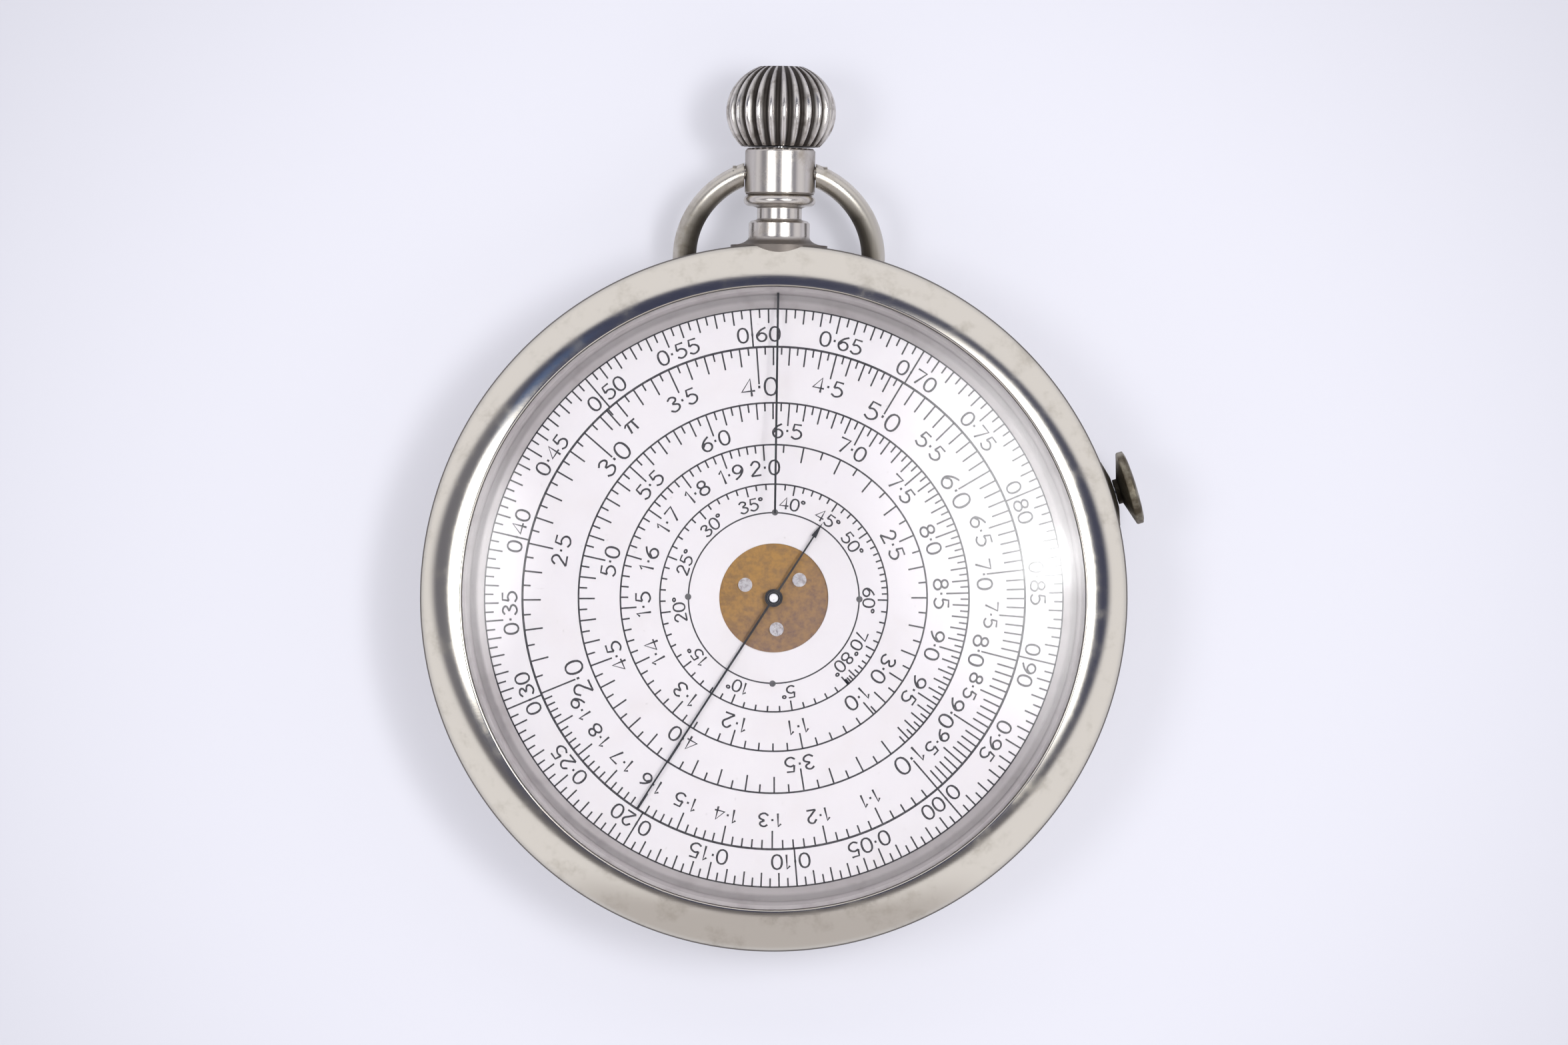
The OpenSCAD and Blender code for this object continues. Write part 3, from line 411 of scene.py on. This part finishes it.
for i in range(100, 1000):
    value = i / 100
    angle = START - 360 * math.log10(value)
    if i % 100 == 0:
        tick(NUMBER_R, angle, 3.5)
        write("%.1f" % value, WHOLE_LABEL_R, angle, 1.65 if value < 7 else 1.4, 0.18)
    elif i % 50 == 0 and value > 2:
        tick(NUMBER_R, angle, 2.4)
        write("%.1f" % value, HALF_LABEL_R, angle, 1.4 if value < 7 else 1.2)
    elif i % 10 == 0:
        tick(NUMBER_R, angle, 1.75)
        if value < 2:
            write("%.1f" % value, TENTH_LABEL_R, angle, 1.25)
    elif i % 2 == 0 and value < 2:
        tick(NUMBER_R, angle, 0.87)
    elif i % 5 == 0 and 2 < value < 5:
        tick(NUMBER_R, angle, 0.75)
pi_angle = START - 360 * math.log10(math.pi)
tick(NUMBER_R, pi_angle, 2.0)
write("p", 21.3, pi_angle - 2.1, 1.6)

for i in range(317, 1000):
    value = i / 100
    angle = START - 720 * (math.log10(value) - 0.5)
    if i % 50 == 0:
        tick(HIGH_ROOT_R, angle, 2.15)
        write("%.1f" % value, HIGH_LABEL_R, angle, 1.35)
    elif i % 5 == 0:
        tick(HIGH_ROOT_R, angle, 1.55 if i % 10 == 0 else 0.8)

for i in range(100, 317):
    value = i / 100
    angle = START - 720 * math.log10(value)
    if i % 10 == 0:
        tick(LOW_ROOT_R, angle, 1.5)
        if value <= 2 or i % 50 == 0:
            write("%.1f" % value, LOW_LABEL_R, angle, 1.35)
    elif (i % 2 == 0 and value < 2) or (i % 5 == 0 and value > 2):
        tick(LOW_ROOT_R, angle, 0.75)

for degree in range(1, 91):
    angle = START - 360 * math.sin(math.radians(degree))
    if degree % 5 == 0 and (degree <= 50 or degree % 10 == 0):
        tick(SINE_R, angle, 0.95)
        if degree < 90:
            write("%do" % degree, SINE_LABEL_R, angle, 1.1, 0.15)
    elif degree <= 60 or degree % 2 == 0:
        tick(SINE_R, angle, 0.55)

for face in lettering.faces:
    if face.normal.z < 0:
        face.normal_flip()
finished("scale_figures", lettering, ink, "dial")
finished("scale_divisions", divisions, ink, "dial")

# Three bright slotted screws hold the plate to the hub, and four grey rivets hold card, plate and
# wheel together. Both are turned steel and keep the solids' shapes.
screw_steel = handled_metal("screw_steel", (0.78, 0.76, 0.79), (0.34, 0.31, 0.32), 2200,
                            (0.42, 0.66), 0.26, 0.15)
rivet_grey = handled_metal("rivet_grey", (0.14, 0.135, 0.14), (0.07, 0.065, 0.07), 1800,
                           (0.45, 0.70), 0.42, 0.2, 0.3)
dressed(screw_steel, "hub_screws")
dressed(rivet_grey, "dial_rivets")

# The hand is cut from thin steel and blacked, with a long reading end and a short arrow. It is
# pressed on a black collet, and the bright end of the steel arbor shows in its boss.
hand_black = handled_metal("hand_black", (0.012, 0.012, 0.015), (0.030, 0.028, 0.030), 1200,
                           (0.50, 0.75), 0.38, 0.1, 0.0)
arbor_bright = handled_metal("arbor_bright", (0.80, 0.79, 0.82), (0.52, 0.50, 0.51), 2500,
                             (0.52, 0.78), 0.42, 0.12)
dressed(hand_black, "cursor_hand", "hand_collet")
dressed(arbor_bright, "cursor_arbor")

# The surround is the sloping ring between dial and glass. It is a turned and grained nickel
# ring, dull grey, that drops into the bezel and keeps the dial down.
GLASS_R = 29.45
GLASS_IN = 29.05
SKIRT_R, SKIRT_TOP = 28.95, 11.23
DIAL_EDGE = 27.4
surround_grey = handled_metal("surround_grey", (0.44, 0.405, 0.41), (0.37, 0.335, 0.34), 500,
                              (0.45, 0.75), 0.46, 0.1, 0.25)
ring_low, ring_high = (v.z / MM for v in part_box("dial_surround"))
surround = turned([(GLASS_R, ring_low), (GLASS_R, ring_high), (GLASS_IN, ring_high), (28.8, 11.92),
                   (28.62, 11.64), (28.42, 11.58), (28.2, 11.62), (27.9, 11.55), (DIAL_EDGE, 11.38),
                   (DIAL_EDGE, SKIRT_TOP), (SKIRT_R, SKIRT_TOP), (SKIRT_R, ring_low)], 256)
# Painted shade: the groove in the surround is darkened.
shade_and_grime(surround_grey, "painted_shade", 0, 1, 0.4, (0.15, 0.14, 0.14))
painted_shade = surround.verts.layers.float.new("painted_shade")
for v in surround.verts:
    v[painted_shade] = 1 if 28.1 < v.co.xy.length / MM < 28.7 else 0
finished("dial_surround_ring", surround, surround_grey, "case", ["dial_surround"])

# The index line is a hair of black paint on the underside of the glass, fixed at the crown. It
# keeps the solid's shape.
line_black = handled_metal("line_black", (0.014, 0.014, 0.016), (0.035, 0.033, 0.035), 2000,
                           (0.50, 0.75), 0.45, 0.1, 0.0)
dressed(line_black, "index_line")

# The crystal is a thin domed watch glass, ground to a flat seat and snapped in behind the bezel's
# lip. It is clear, and bright only where a lamp stands in its dome.
GLASS_TOP = 15
GLASS_RISE = 2
GLASS_T = 1
GLASS_LOW = 12.0


def dome_points(radius, top):
    ball = (radius ** 2 + GLASS_RISE ** 2) / (2 * GLASS_RISE)
    leans = [math.asin(radius * i / 24 / ball) for i in range(25)]
    return [(ball * math.sin(a), top - ball + ball * math.cos(a)) for a in leans]


outer_dome = dome_points(GLASS_R, GLASS_TOP)
inner_dome = dome_points(GLASS_IN, GLASS_TOP - GLASS_T)[::-1]
clear = bpy.data.materials.new("watch_glass")
clear.use_nodes = True
tree = clear.node_tree
glass = tree.nodes["Principled BSDF"]
glass.inputs["Transmission Weight"].default_value = 1
glass.inputs["IOR"].default_value = 1.5
film = add(tree, "ShaderNodeTexNoise", {
    "Vector": add(tree, "ShaderNodeTexCoord").outputs["Object"], "Scale": 300, "Detail": 5})
smear = add(tree, "ShaderNodeMapRange", {
    "Value": film.outputs["Fac"], "From Min": 0.55, "From Max": 0.8, "To Min": 0.0, "To Max": 0.03})
tree.links.new(smear.outputs["Result"], glass.inputs["Roughness"])
through = add(tree, "ShaderNodeBsdfTransparent")
path = add(tree, "ShaderNodeLightPath")
either = add(tree, "ShaderNodeMixShader", {
    0: path.outputs["Is Shadow Ray"], 1: glass.outputs["BSDF"], 2: through.outputs["BSDF"]})
tree.links.new(either.outputs["Shader"], tree.nodes["Material Output"].inputs["Surface"])
crystal = turned(outer_dome + [(GLASS_R, GLASS_LOW)] + inner_dome, 192, closed=False)
finished("crystal_glass", crystal, clear, "case", ["crystal"], 30)

# The bezel is the polished nickel ring that holds the glass. It is turned with one full round
# from the band up to a narrow lip, and snaps into the band.
BEZEL_TOP = 13.25
LIP_IN = 29.47
LIP_R = 29.87
LIP_LEAN, LIP_END = 10, 8
EDGE_ROUND = 0.3
EDGE_LEAN = 44
SNAP_IN, SNAP_OUT = 31.18, 31.88
SEAT_R, SEAT_LOW, SEAT_TOP = 28.85, 9.63, 10.13
glass_edge = GLASS_TOP - GLASS_RISE
lean, edge = math.radians(LIP_LEAN), math.radians(EDGE_LEAN)
bezel_r = (CASE_R - EDGE_ROUND * (1 - math.sin(edge)) - LIP_R) / (math.sin(edge) - math.sin(lean))
bezel_x = LIP_R - bezel_r * math.sin(lean)
bezel_z = BEZEL_TOP - bezel_r * math.cos(lean)
side_z = bezel_z + (bezel_r - EDGE_ROUND) * math.cos(edge)
bezel_nickel = handled_metal("bezel_nickel", (0.74, 0.70, 0.62), (0.58, 0.54, 0.46), 320,
                             (0.48, 0.80), 0.10, 0.12)
bezel_line = [(SNAP_IN, 8.5), (SNAP_OUT, 8.5), (SNAP_OUT, BAND_TOP), (CASE_R - CHAMFER, BAND_TOP),
              (CASE_R, BAND_TOP + CHAMFER), (CASE_R, side_z - 0.12)]
bezel_line += arc_points((CASE_R - EDGE_ROUND, side_z), EDGE_ROUND, EDGE_ROUND, 0, 90 - EDGE_LEAN, 8)[:-1]
bezel_line += arc_points((bezel_x, bezel_z), bezel_r, bezel_r, 90 - EDGE_LEAN, 90 - LIP_END, 42)
bezel_line += [(29.57, 13.26), (29.51, 13.18), (LIP_IN, glass_edge), (LIP_IN, SEAT_TOP),
               (SEAT_R, SEAT_TOP), (SEAT_R, SEAT_LOW), (SNAP_IN, BAND_TOP)]
bezel = turned(bezel_line, 384)
# Painted shade: a dark line along the lip's inner wall by the glass and round the outer edge.
shade_and_grime(bezel_nickel, "painted_shade", 0, 1, 0.9, (0.10, 0.09, 0.085))
painted_shade = bezel.verts.layers.float.new("painted_shade")
for v in bezel.verts:
    radius = v.co.xy.length / MM
    at_edge = radius > CASE_R - 0.1 and v.co.z > (side_z - 0.01) * MM
    v[painted_shade] = 1 if radius < LIP_IN + 0.08 or at_edge else 0
finished("bezel_ring", bezel, bezel_nickel, "case", ["bezel"])

# The back is one disc of nickel-plated brass, spun to a low dome with a flat in the middle that
# the rule lies on. Its thin rim snaps into the band, and it is dulled by the table and the hand.
FLAT_R = 10.0
DOME_R, DOME_Z = 23.993, 2.59
RIM_Z = 5.5
BACK_T = 0.7
SNAP_TOP = 6.3
dome_r = ((DOME_R - FLAT_R) ** 2 + DOME_Z ** 2) / (2 * DOME_Z)
dome_end = -90 + math.degrees(2 * math.atan(DOME_Z / (DOME_R - FLAT_R)))
dome = arc_points((FLAT_R, dome_r), dome_r, dome_r, -90, dome_end, 24)
back_nickel = handled_metal("back_nickel", (0.70, 0.66, 0.60), (0.58, 0.53, 0.47), 120,
                            (0.40, 0.80), 0.2, 0.2)
back_line = [(0, 0)] + dome
back_line += [(CASE_R, RIM_Z), (CASE_R - CHAMFER, BAND_LOW), (SNAP_OUT, BAND_LOW), (SNAP_OUT, SNAP_TOP),
              (SNAP_IN, SNAP_TOP), (SNAP_IN, BAND_LOW)]
back_line += [(r, z + BACK_T) for r, z in reversed(dome)] + [(0, BACK_T)]
back = turned(back_line, 256, closed=False)
finished("back_cover_spun", back, back_nickel, "case", ["back_cover"])

# The pendant is the turned neck between case and crown: a flared foot that wraps the case, a
# collar, a waist, a beaded lip and the barrel that the bow pivots in. It is nickel, soldered on.
NECK_LOW, NECK_DEEP, NECK_TOP = 33.0, 32.5, 42.7
FOOT_R = 4.6
COLLAR_R = 2.9
WAIST_R = 2.12
BARREL_R = 3.33
pendant_nickel = handled_metal("pendant_nickel", (0.62, 0.585, 0.545), (0.36, 0.31, 0.25), 420,
                               (0.50, 0.78), 0.22, 0.16)
shade_and_grime(pendant_nickel, "painted_shade", 0.1, 1, 0.78, (0.07, 0.052, 0.04))
to_crown = Matrix.Translation((0, 0, STEM_Z * MM)) @ Matrix.Rotation(-math.pi / 2, 4, "X")
neck = [(0, NECK_LOW), (FOOT_R, NECK_LOW)]
neck += arc_points((FOOT_R, 34.3), FOOT_R - COLLAR_R, 0.8, 270, 180, 10)
neck += [(COLLAR_R, 34.4), (COLLAR_R, 35.5), (COLLAR_R, 35.6), (2.7, 35.8), (WAIST_R, 35.95),
         (WAIST_R, 36.05), (WAIST_R, 36.95), (WAIST_R, 37.05), (2.62, 37.25)]
neck += arc_points((2.87, 37.75), 0.55, 0.53, -75, 80, 10)
neck += [(3.23, 38.34), (3.23, 38.42), (BARREL_R, 38.5), (BARREL_R, 38.6), (BARREL_R, 42.38),
         (BARREL_R, 42.46), (3.13, NECK_TOP), (0, NECK_TOP)]
pendant = turned(neck, 96, closed=False)
bmesh.ops.transform(pendant, matrix=to_crown, verts=pendant.verts)
# Painted shade: the grooves, the foot where it meets the case and the barrel's sides are darkened.
painted_shade = pendant.verts.layers.float.new("painted_shade")
for v in pendant.verts:
    height = v.co.y / MM
    groove = 38.3 < height < 38.45 or 35.9 < height < 36 or 37 < height < 37.1
    shaded_side = 0.7 * (abs(v.co.x) / MM - 2.3) if height > 38.5 else 0
    v[painted_shade] = max(0.9 if groove else 0, min(1, (34.4 - height) / 0.5), shaded_side)


def case_edge(x, z):
    radius = CASE_R - max(0, RIM_Z - z) * (CASE_R - DOME_R) / (RIM_Z - DOME_Z)
    if z > side_z:
        radius = min(CASE_R, bezel_x + math.sqrt(bezel_r ** 2 - (min(z, BEZEL_TOP) - bezel_z) ** 2))
    return math.sqrt(radius ** 2 - x * x)


for v in pendant.verts:
    if v.co.y < (NECK_LOW + 0.01) * MM:
        v.co.y = MM * max(NECK_DEEP, case_edge(v.co.x / MM, v.co.z / MM))
finished("pendant_neck", pendant, pendant_nickel, "case", ["pendant"])

# The crown is a round fluted knob of nickel, cast and milled, with its flutes running from the
# barrel to a small flat top. The valleys between the flutes hold old dirt and painted shade, more towards
# the top and the bottom.
CROWN_LOW = 42.9
CROWN_H = 7.6
CROWN_R = 5.24
WIDEST, ROUND_H = 3.3, 4.7
FLUTES = 25
FLUTE_CUT = 0.105
heights = [CROWN_H * i / 28 for i in range(29)]
crown_line = [(CROWN_R * math.sqrt(1 - ((h - WIDEST) / ROUND_H) ** 2), CROWN_LOW + h) for h in heights]
crown = turned([(0, CROWN_LOW)] + crown_line + [(0, CROWN_LOW + CROWN_H)], FLUTES * 12, closed=False)
valley = crown.verts.layers.float.new("valley")
for v in crown.verts:
    turn = math.atan2(v.co.y, v.co.x)
    cut = 0.5 - 0.5 * math.cos(FLUTES * turn)
    height = v.co.z / MM - CROWN_LOW
    v[valley] = cut + max(0, 0.11 * (height - 4.2), 0.25 * (1.3 - height))
    v.co.xy *= 1 - FLUTE_CUT * cut
bmesh.ops.transform(crown, matrix=to_crown, verts=crown.verts)
crown_nickel = handled_metal("crown_nickel", (0.66, 0.63, 0.60), (0.26, 0.23, 0.20), 700,
                             (0.46, 0.74), 0.2, 0.16)
# Dirt and painted shade in the valleys, more towards the top and the bottom.
shade_and_grime(crown_nickel, "valley", 0.24, 0.8, 0.96, (0.035, 0.028, 0.024))
finished("crown_fluted", crown, crown_nickel, "crown_group", ["crown"], 80)

# The bow is a ring of nickel wire, a little thinner at its ends, whose pins pivot in the barrel.
# It is bent to shape and sprung on, and lies folded back behind the case.
BOW_R = 9.0
BOW_DROP = 8.55
WIRE_R = 1.12
TAPER = 0.07
BOW_END = 3.4
BOW_SPAN = 170
PIVOT_Y = 40.4
PIN_R, PIN_L, PIN_X = 0.65, 2.6, 3.2
TABLE_GAP = 0.05
bow_tilt = math.asin((STEM_Z - WIRE_R - TABLE_GAP) / (BOW_DROP + BOW_R))
bow = bmesh.new()
bmesh.ops.create_circle(bow, cap_ends=False, radius=WIRE_R * MM, segments=24,
                        matrix=Matrix.Translation((0, -BOW_R * MM, 0))
                        @ Matrix.Rotation(math.pi / 2, 4, "Y"))
bmesh.ops.spin(bow, geom=bow.verts[:] + bow.edges[:], axis=(0, 0, 1), cent=(0, 0, 0),
               dvec=(0, 0, 0), angle=math.radians(BOW_SPAN), steps=72)
for v in bow.verts:
    turn = math.atan2(v.co.x, -v.co.y)
    core = Vector((math.sin(turn), -math.cos(turn), 0)) * BOW_R * MM
    v.co = core + (v.co - core) * (1 - TAPER * max(0, turn / math.pi - 0.5) * 2)
upper = [f for f in bow.faces if f.calc_center_median().y > 0]
near_end = list({e for f in upper for e in f.edges}) + list({v for f in upper for v in f.verts})
bmesh.ops.bisect_plane(bow, geom=upper + near_end, dist=1e-8, plane_co=(BOW_END * MM, 0, 0),
                       plane_no=(1, 0, 0), clear_inner=True)
rim = [e for e in bow.edges if e.is_boundary and e.verts[0].co.y > 0]
bmesh.ops.edgeloop_fill(bow, edges=rim)
bmesh.ops.bevel(bow, geom=rim, offset=0.05 * MM, segments=3, profile=0.5, affect="EDGES",
                material=-1)
bmesh.ops.mirror(bow, geom=bow.verts[:] + bow.edges[:] + bow.faces[:], axis="X", merge_dist=1e-7)
bmesh.ops.recalc_face_normals(bow, faces=bow.faces)
for side in (-1, 1):
    pin_place = Matrix.Translation((side * PIN_X * MM, BOW_DROP * MM, 0))
    bmesh.ops.create_cone(bow, cap_ends=True, segments=24, radius1=PIN_R * MM, radius2=PIN_R * MM,
                          depth=PIN_L * MM, matrix=pin_place @ Matrix.Rotation(math.pi / 2, 4, "Y"))
hung = Matrix.Translation((0, PIVOT_Y * MM, STEM_Z * MM)) @ Matrix.Rotation(bow_tilt, 4, "X")
hung = hung @ Matrix.Translation((0, -BOW_DROP * MM, 0))
bmesh.ops.transform(bow, matrix=hung, verts=bow.verts)
bow_nickel = handled_metal("bow_nickel", (0.60, 0.565, 0.50), (0.40, 0.36, 0.29), 380,
                           (0.48, 0.76), 0.24, 0.16)
# Painted shade: the wire darkens towards its low ends by the case, most on its inner side.
shade_and_grime(bow_nickel, "case_shade", 0, 1, 0.88, (0.05, 0.042, 0.034))
case_shade = bow.verts.layers.float.new("case_shade")
to_ring = hung.inverted()
for v in bow.verts:
    low = max(0, min(1, (39 - v.co.y / MM) / 2.8))
    inside = 0.75 + 0.9 * (BOW_R - (to_ring @ v.co).xy.length / MM) / WIRE_R
    v[case_shade] = low * max(0.15, min(1, inside))
finished("bow_wire", bow, bow_nickel, "bow_group", ["bow"])

# The side knob turns the hand. It is a turned nickel mushroom on a thin neck, brown with wear, and
# runs in a conical bush that is screwed into the band.
KNOB_AT = 18
KNOB_LOW, KNOB_EDGE = 34.0, 35.75
KNOB_R, KNOB_NECK = 3.55, 1.2
BUSH_R, BUSH_BORE, BUSH_STEM = 3.2, 0.64, 1.26
BUSH_LOW, BUSH_FOOT, BUSH_EDGE, BUSH_TOP = 32.0, 33.0, 33.5, 33.9
to_side = Matrix.Rotation(math.radians(KNOB_AT), 4, "Z") @ Matrix.Translation((0, 0, STEM_Z * MM))
to_side = to_side @ Matrix.Rotation(math.pi / 2, 4, "Y")
knob_brown = handled_metal("knob_brown", (0.31, 0.285, 0.22), (0.10, 0.082, 0.058), 520,
                           (0.32, 0.64), 0.34, 0.2)
knob_line = [(0, KNOB_LOW), (KNOB_NECK, KNOB_LOW), (KNOB_NECK, 34.4), (1.4, 34.46), (2.6, 34.82),
             (KNOB_R, 35.1), (KNOB_R, KNOB_EDGE)]
knob_line += arc_points((0, KNOB_EDGE), KNOB_R - 0.2, 0.3, 0, 90, 16)
knob = turned(knob_line, 128, {1: 0.08, 5: 0.12, 6: 0.12}, closed=False)
# Painted shade on the knob's neck and the underside of its cap.
shade_and_grime(knob_brown, "under_shade", 0, 1, 0.85, (0.02, 0.016, 0.012))
under_shade = knob.verts.layers.float.new("under_shade")
for v in knob.verts:
    v[under_shade] = max(0, min(1, (2.8 - v.co.xy.length / MM) / 1.2)) if v.co.z < 35 * MM else 0
bmesh.ops.transform(knob, matrix=to_side, verts=knob.verts)
finished("side_knob_turned", knob, knob_brown, "side_group", ["side_knob"])
bush = turned([(BUSH_BORE, BUSH_LOW), (BUSH_STEM, BUSH_LOW), (BUSH_STEM, BUSH_FOOT), (BUSH_R, BUSH_FOOT),
               (BUSH_R, BUSH_EDGE), (1.55, BUSH_TOP), (BUSH_BORE, BUSH_TOP)], 96, {4: 0.08, 5: 0.06})
# Painted shade on the bush's face under the knob; the rest of the bush is a little darker all over.
under_shade = bush.verts.layers.float.new("under_shade")
for v in bush.verts:
    v[under_shade] = 1 if v.co.z > (BUSH_TOP - 0.1) * MM else 0.15
    if abs(v.co.z - BUSH_FOOT * MM) < 1e-6 and v.co.xy.length > 2 * MM:
        v.co.z = MM * max(NECK_DEEP, case_edge(v.co.y / MM, STEM_Z - v.co.x / MM))
bmesh.ops.transform(bush, matrix=to_side, verts=bush.verts)
finished("side_bush_cone", bush, knob_brown, "case", ["side_bush"])

# The floor is a pale matt table top, a hair below the back. It glows a little of its own, for the
# light that comes from all round a small studio, and has painted shade towards the edges of the picture.
FLOOR_DROP = 0.02
floor = bmesh.new()
bmesh.ops.create_grid(floor, x_segments=4, y_segments=4, size=3,
                      matrix=Matrix.Translation((0, 0, -FLOOR_DROP * MM)))
floor_mesh = bpy.data.meshes.new("floor")
floor.to_mesh(floor_mesh)
floor.free()
table_top = bpy.data.materials.new("table_top")
table_top.use_nodes = True
tree = table_top.node_tree
surface = tree.nodes["Principled BSDF"]
surface.inputs["Roughness"].default_value = 0.8
surface.inputs["Specular IOR Level"].default_value = 0.1
surface.inputs["Emission Color"].default_value = (1.0, 1.0, 1.06, 1)
away = add(tree, "ShaderNodeVectorMath", {
    0: add(tree, "ShaderNodeTexCoord").outputs["Object"]}, operation="LENGTH")
painted_falloff = add(tree, "ShaderNodeMapRange", {
    "Value": away.outputs["Value"], "From Min": 0.04, "From Max": 0.16, "To Min": 1, "To Max": 0.60},
    interpolation_type="SMOOTHSTEP")
paint = add(tree, "ShaderNodeMix", {
    "Factor": 1, "A": (0.52, 0.52, 0.57, 1), "B": painted_falloff.outputs["Result"]},
    data_type="RGBA", blend_type="MULTIPLY")
glow = add(tree, "ShaderNodeMath", {0: painted_falloff.outputs["Result"], 1: 0.315}, operation="MULTIPLY")
tree.links.new(paint.outputs["Result"], surface.inputs["Base Color"])
tree.links.new(glow.outputs["Value"], surface.inputs["Emission Strength"])
floor_mesh.materials.append(table_top)
table = bpy.data.objects.new("floor", floor_mesh)
bpy.context.scene.collection.objects.link(table)

# The lamps are oval cloth boxes, brightest in the middle, that stand left and right of the camera.
# The wide one at the right lays a haze on the glass, and the small one in it is a bright window.
LAMP_FAR = 0.7


def soft_box(name, lean, azimuth, width, height, core, watts):
    lamp = bpy.data.lights.new(name, "AREA")
    lamp.shape = "ELLIPSE"
    lamp.size = width
    lamp.size_y = height
    lamp.energy = watts
    lamp.use_nodes = True
    cloth = lamp.node_tree
    spot = add(cloth, "ShaderNodeNewGeometry").outputs["Parametric"]
    reach = add(cloth, "ShaderNodeVectorMath", {0: spot, 1: (0.5, 0.5, 0)}, operation="DISTANCE")
    fade = add(cloth, "ShaderNodeMapRange", {
        "Value": reach.outputs["Value"], "From Min": core / 2, "From Max": 0.5, "To Min": 1, "To Max": 0},
        interpolation_type="SMOOTHSTEP")
    cloth.links.new(fade.outputs["Result"], cloth.nodes["Emission"].inputs["Strength"])
    box = bpy.data.objects.new(name, lamp)
    turn = Matrix.Rotation(math.radians(azimuth), 4, "Z") @ Matrix.Rotation(math.radians(lean), 4, "Y")
    box.matrix_world = turn @ Matrix.Translation((0, 0, LAMP_FAR))
    box.visible_camera = False
    bpy.context.scene.collection.objects.link(box)


soft_box("left_box", 27.5, 174, 0.34, 0.34, 0.5, 1.9)
soft_box("right_box", 24.5, 12, 0.17, 0.33, 0.45, 2.1)
soft_box("right_haze", 20, 14, 0.38, 0.50, 0.2, 2.75)
soft_box("window", 17.4, 7.2, 0.07, 0.07, 0.1, 0.09)

# The room has pale walls and a dark ceiling with one blue patch, which the polished metal mirrors.
# Its colours are laid one over the other by the direction that is looked in.
world = bpy.data.worlds.new("room")
bpy.context.scene.world = world
world.use_nodes = True
tree = world.node_tree
looked = add(tree, "ShaderNodeTexCoord").outputs["Generated"]
way = add(tree, "ShaderNodeSeparateXYZ", {"Vector": looked}).outputs
aside = add(tree, "ShaderNodeMath", {0: way["X"]}, operation="ABSOLUTE")
nearby = add(tree, "ShaderNodeMath", {0: way["Y"], 1: aside.outputs["Value"]}, operation="ADD")
shape = add(tree, "ShaderNodeVectorMath", {
    0: looked, 1: (1.13, 2.02, 0), 2: (0.051, -0.121, 0)}, operation="MULTIPLY_ADD")
ceiling = add(tree, "ShaderNodeVectorMath", {0: shape.outputs["Vector"]}, operation="LENGTH")
blue = add(tree, "ShaderNodeVectorMath", {0: looked, 1: (-0.37, 0.30, 0.88)}, operation="DISTANCE")


def patch(under, along, start, end, over):
    mask = add(tree, "ShaderNodeMapRange", {"Value": along, "From Min": start, "From Max": end},
               interpolation_type="SMOOTHSTEP")
    laid = add(tree, "ShaderNodeMix", {
        "Factor": mask.outputs["Result"], "A": under, "B": over}, data_type="RGBA")
    return laid.outputs["Result"]


walls = patch((0.93, 0.92, 0.97, 1), nearby.outputs["Value"], -0.15, -0.45, (0.61, 0.585, 0.61, 1))
dim = patch((0.048, 0.055, 0.112, 1), way["X"], -0.4, -0.7, (0.19, 0.19, 0.23, 1))
dim = patch(dim, way["Y"], -0.15, -0.4, (0.16, 0.15, 0.16, 1))
dim = patch(dim, blue.outputs["Value"], 0.16, 0.04, (0.06, 0.115, 0.28, 1))
room = patch(walls, ceiling.outputs["Value"], 1.06, 0.92, dim)
room = patch(room, way["Z"], 0.16, 0.03, (0.72, 0.72, 0.78, 1))
tree.links.new(room, tree.nodes["Background"].inputs["Color"])

# The camera looks straight down from well above, so that depth hardly shows, and is turned a
# little, as the photograph was taken. The rule stands a bit low in its picture.
REACH = 0.9
SENSOR = 36
PICTURE_W = 0.1485
AIM = (0.97, 7.15, 11)
ROLL = 0.84
camera = bpy.data.cameras.new("camera")
camera.sensor_width = SENSOR
camera.lens = SENSOR * REACH / PICTURE_W
camera.clip_end = 20
stand = bpy.data.objects.new("camera", camera)
roll = Matrix.Rotation(math.radians(ROLL), 4, "Z")
stand.matrix_world = roll @ Matrix.Translation((AIM[0] * MM, AIM[1] * MM, AIM[2] * MM + REACH))
bpy.context.scene.collection.objects.link(stand)
bpy.context.scene.camera = stand
bpy.context.scene.view_settings.view_transform = "Standard"

bpy.context.view_layer.update()
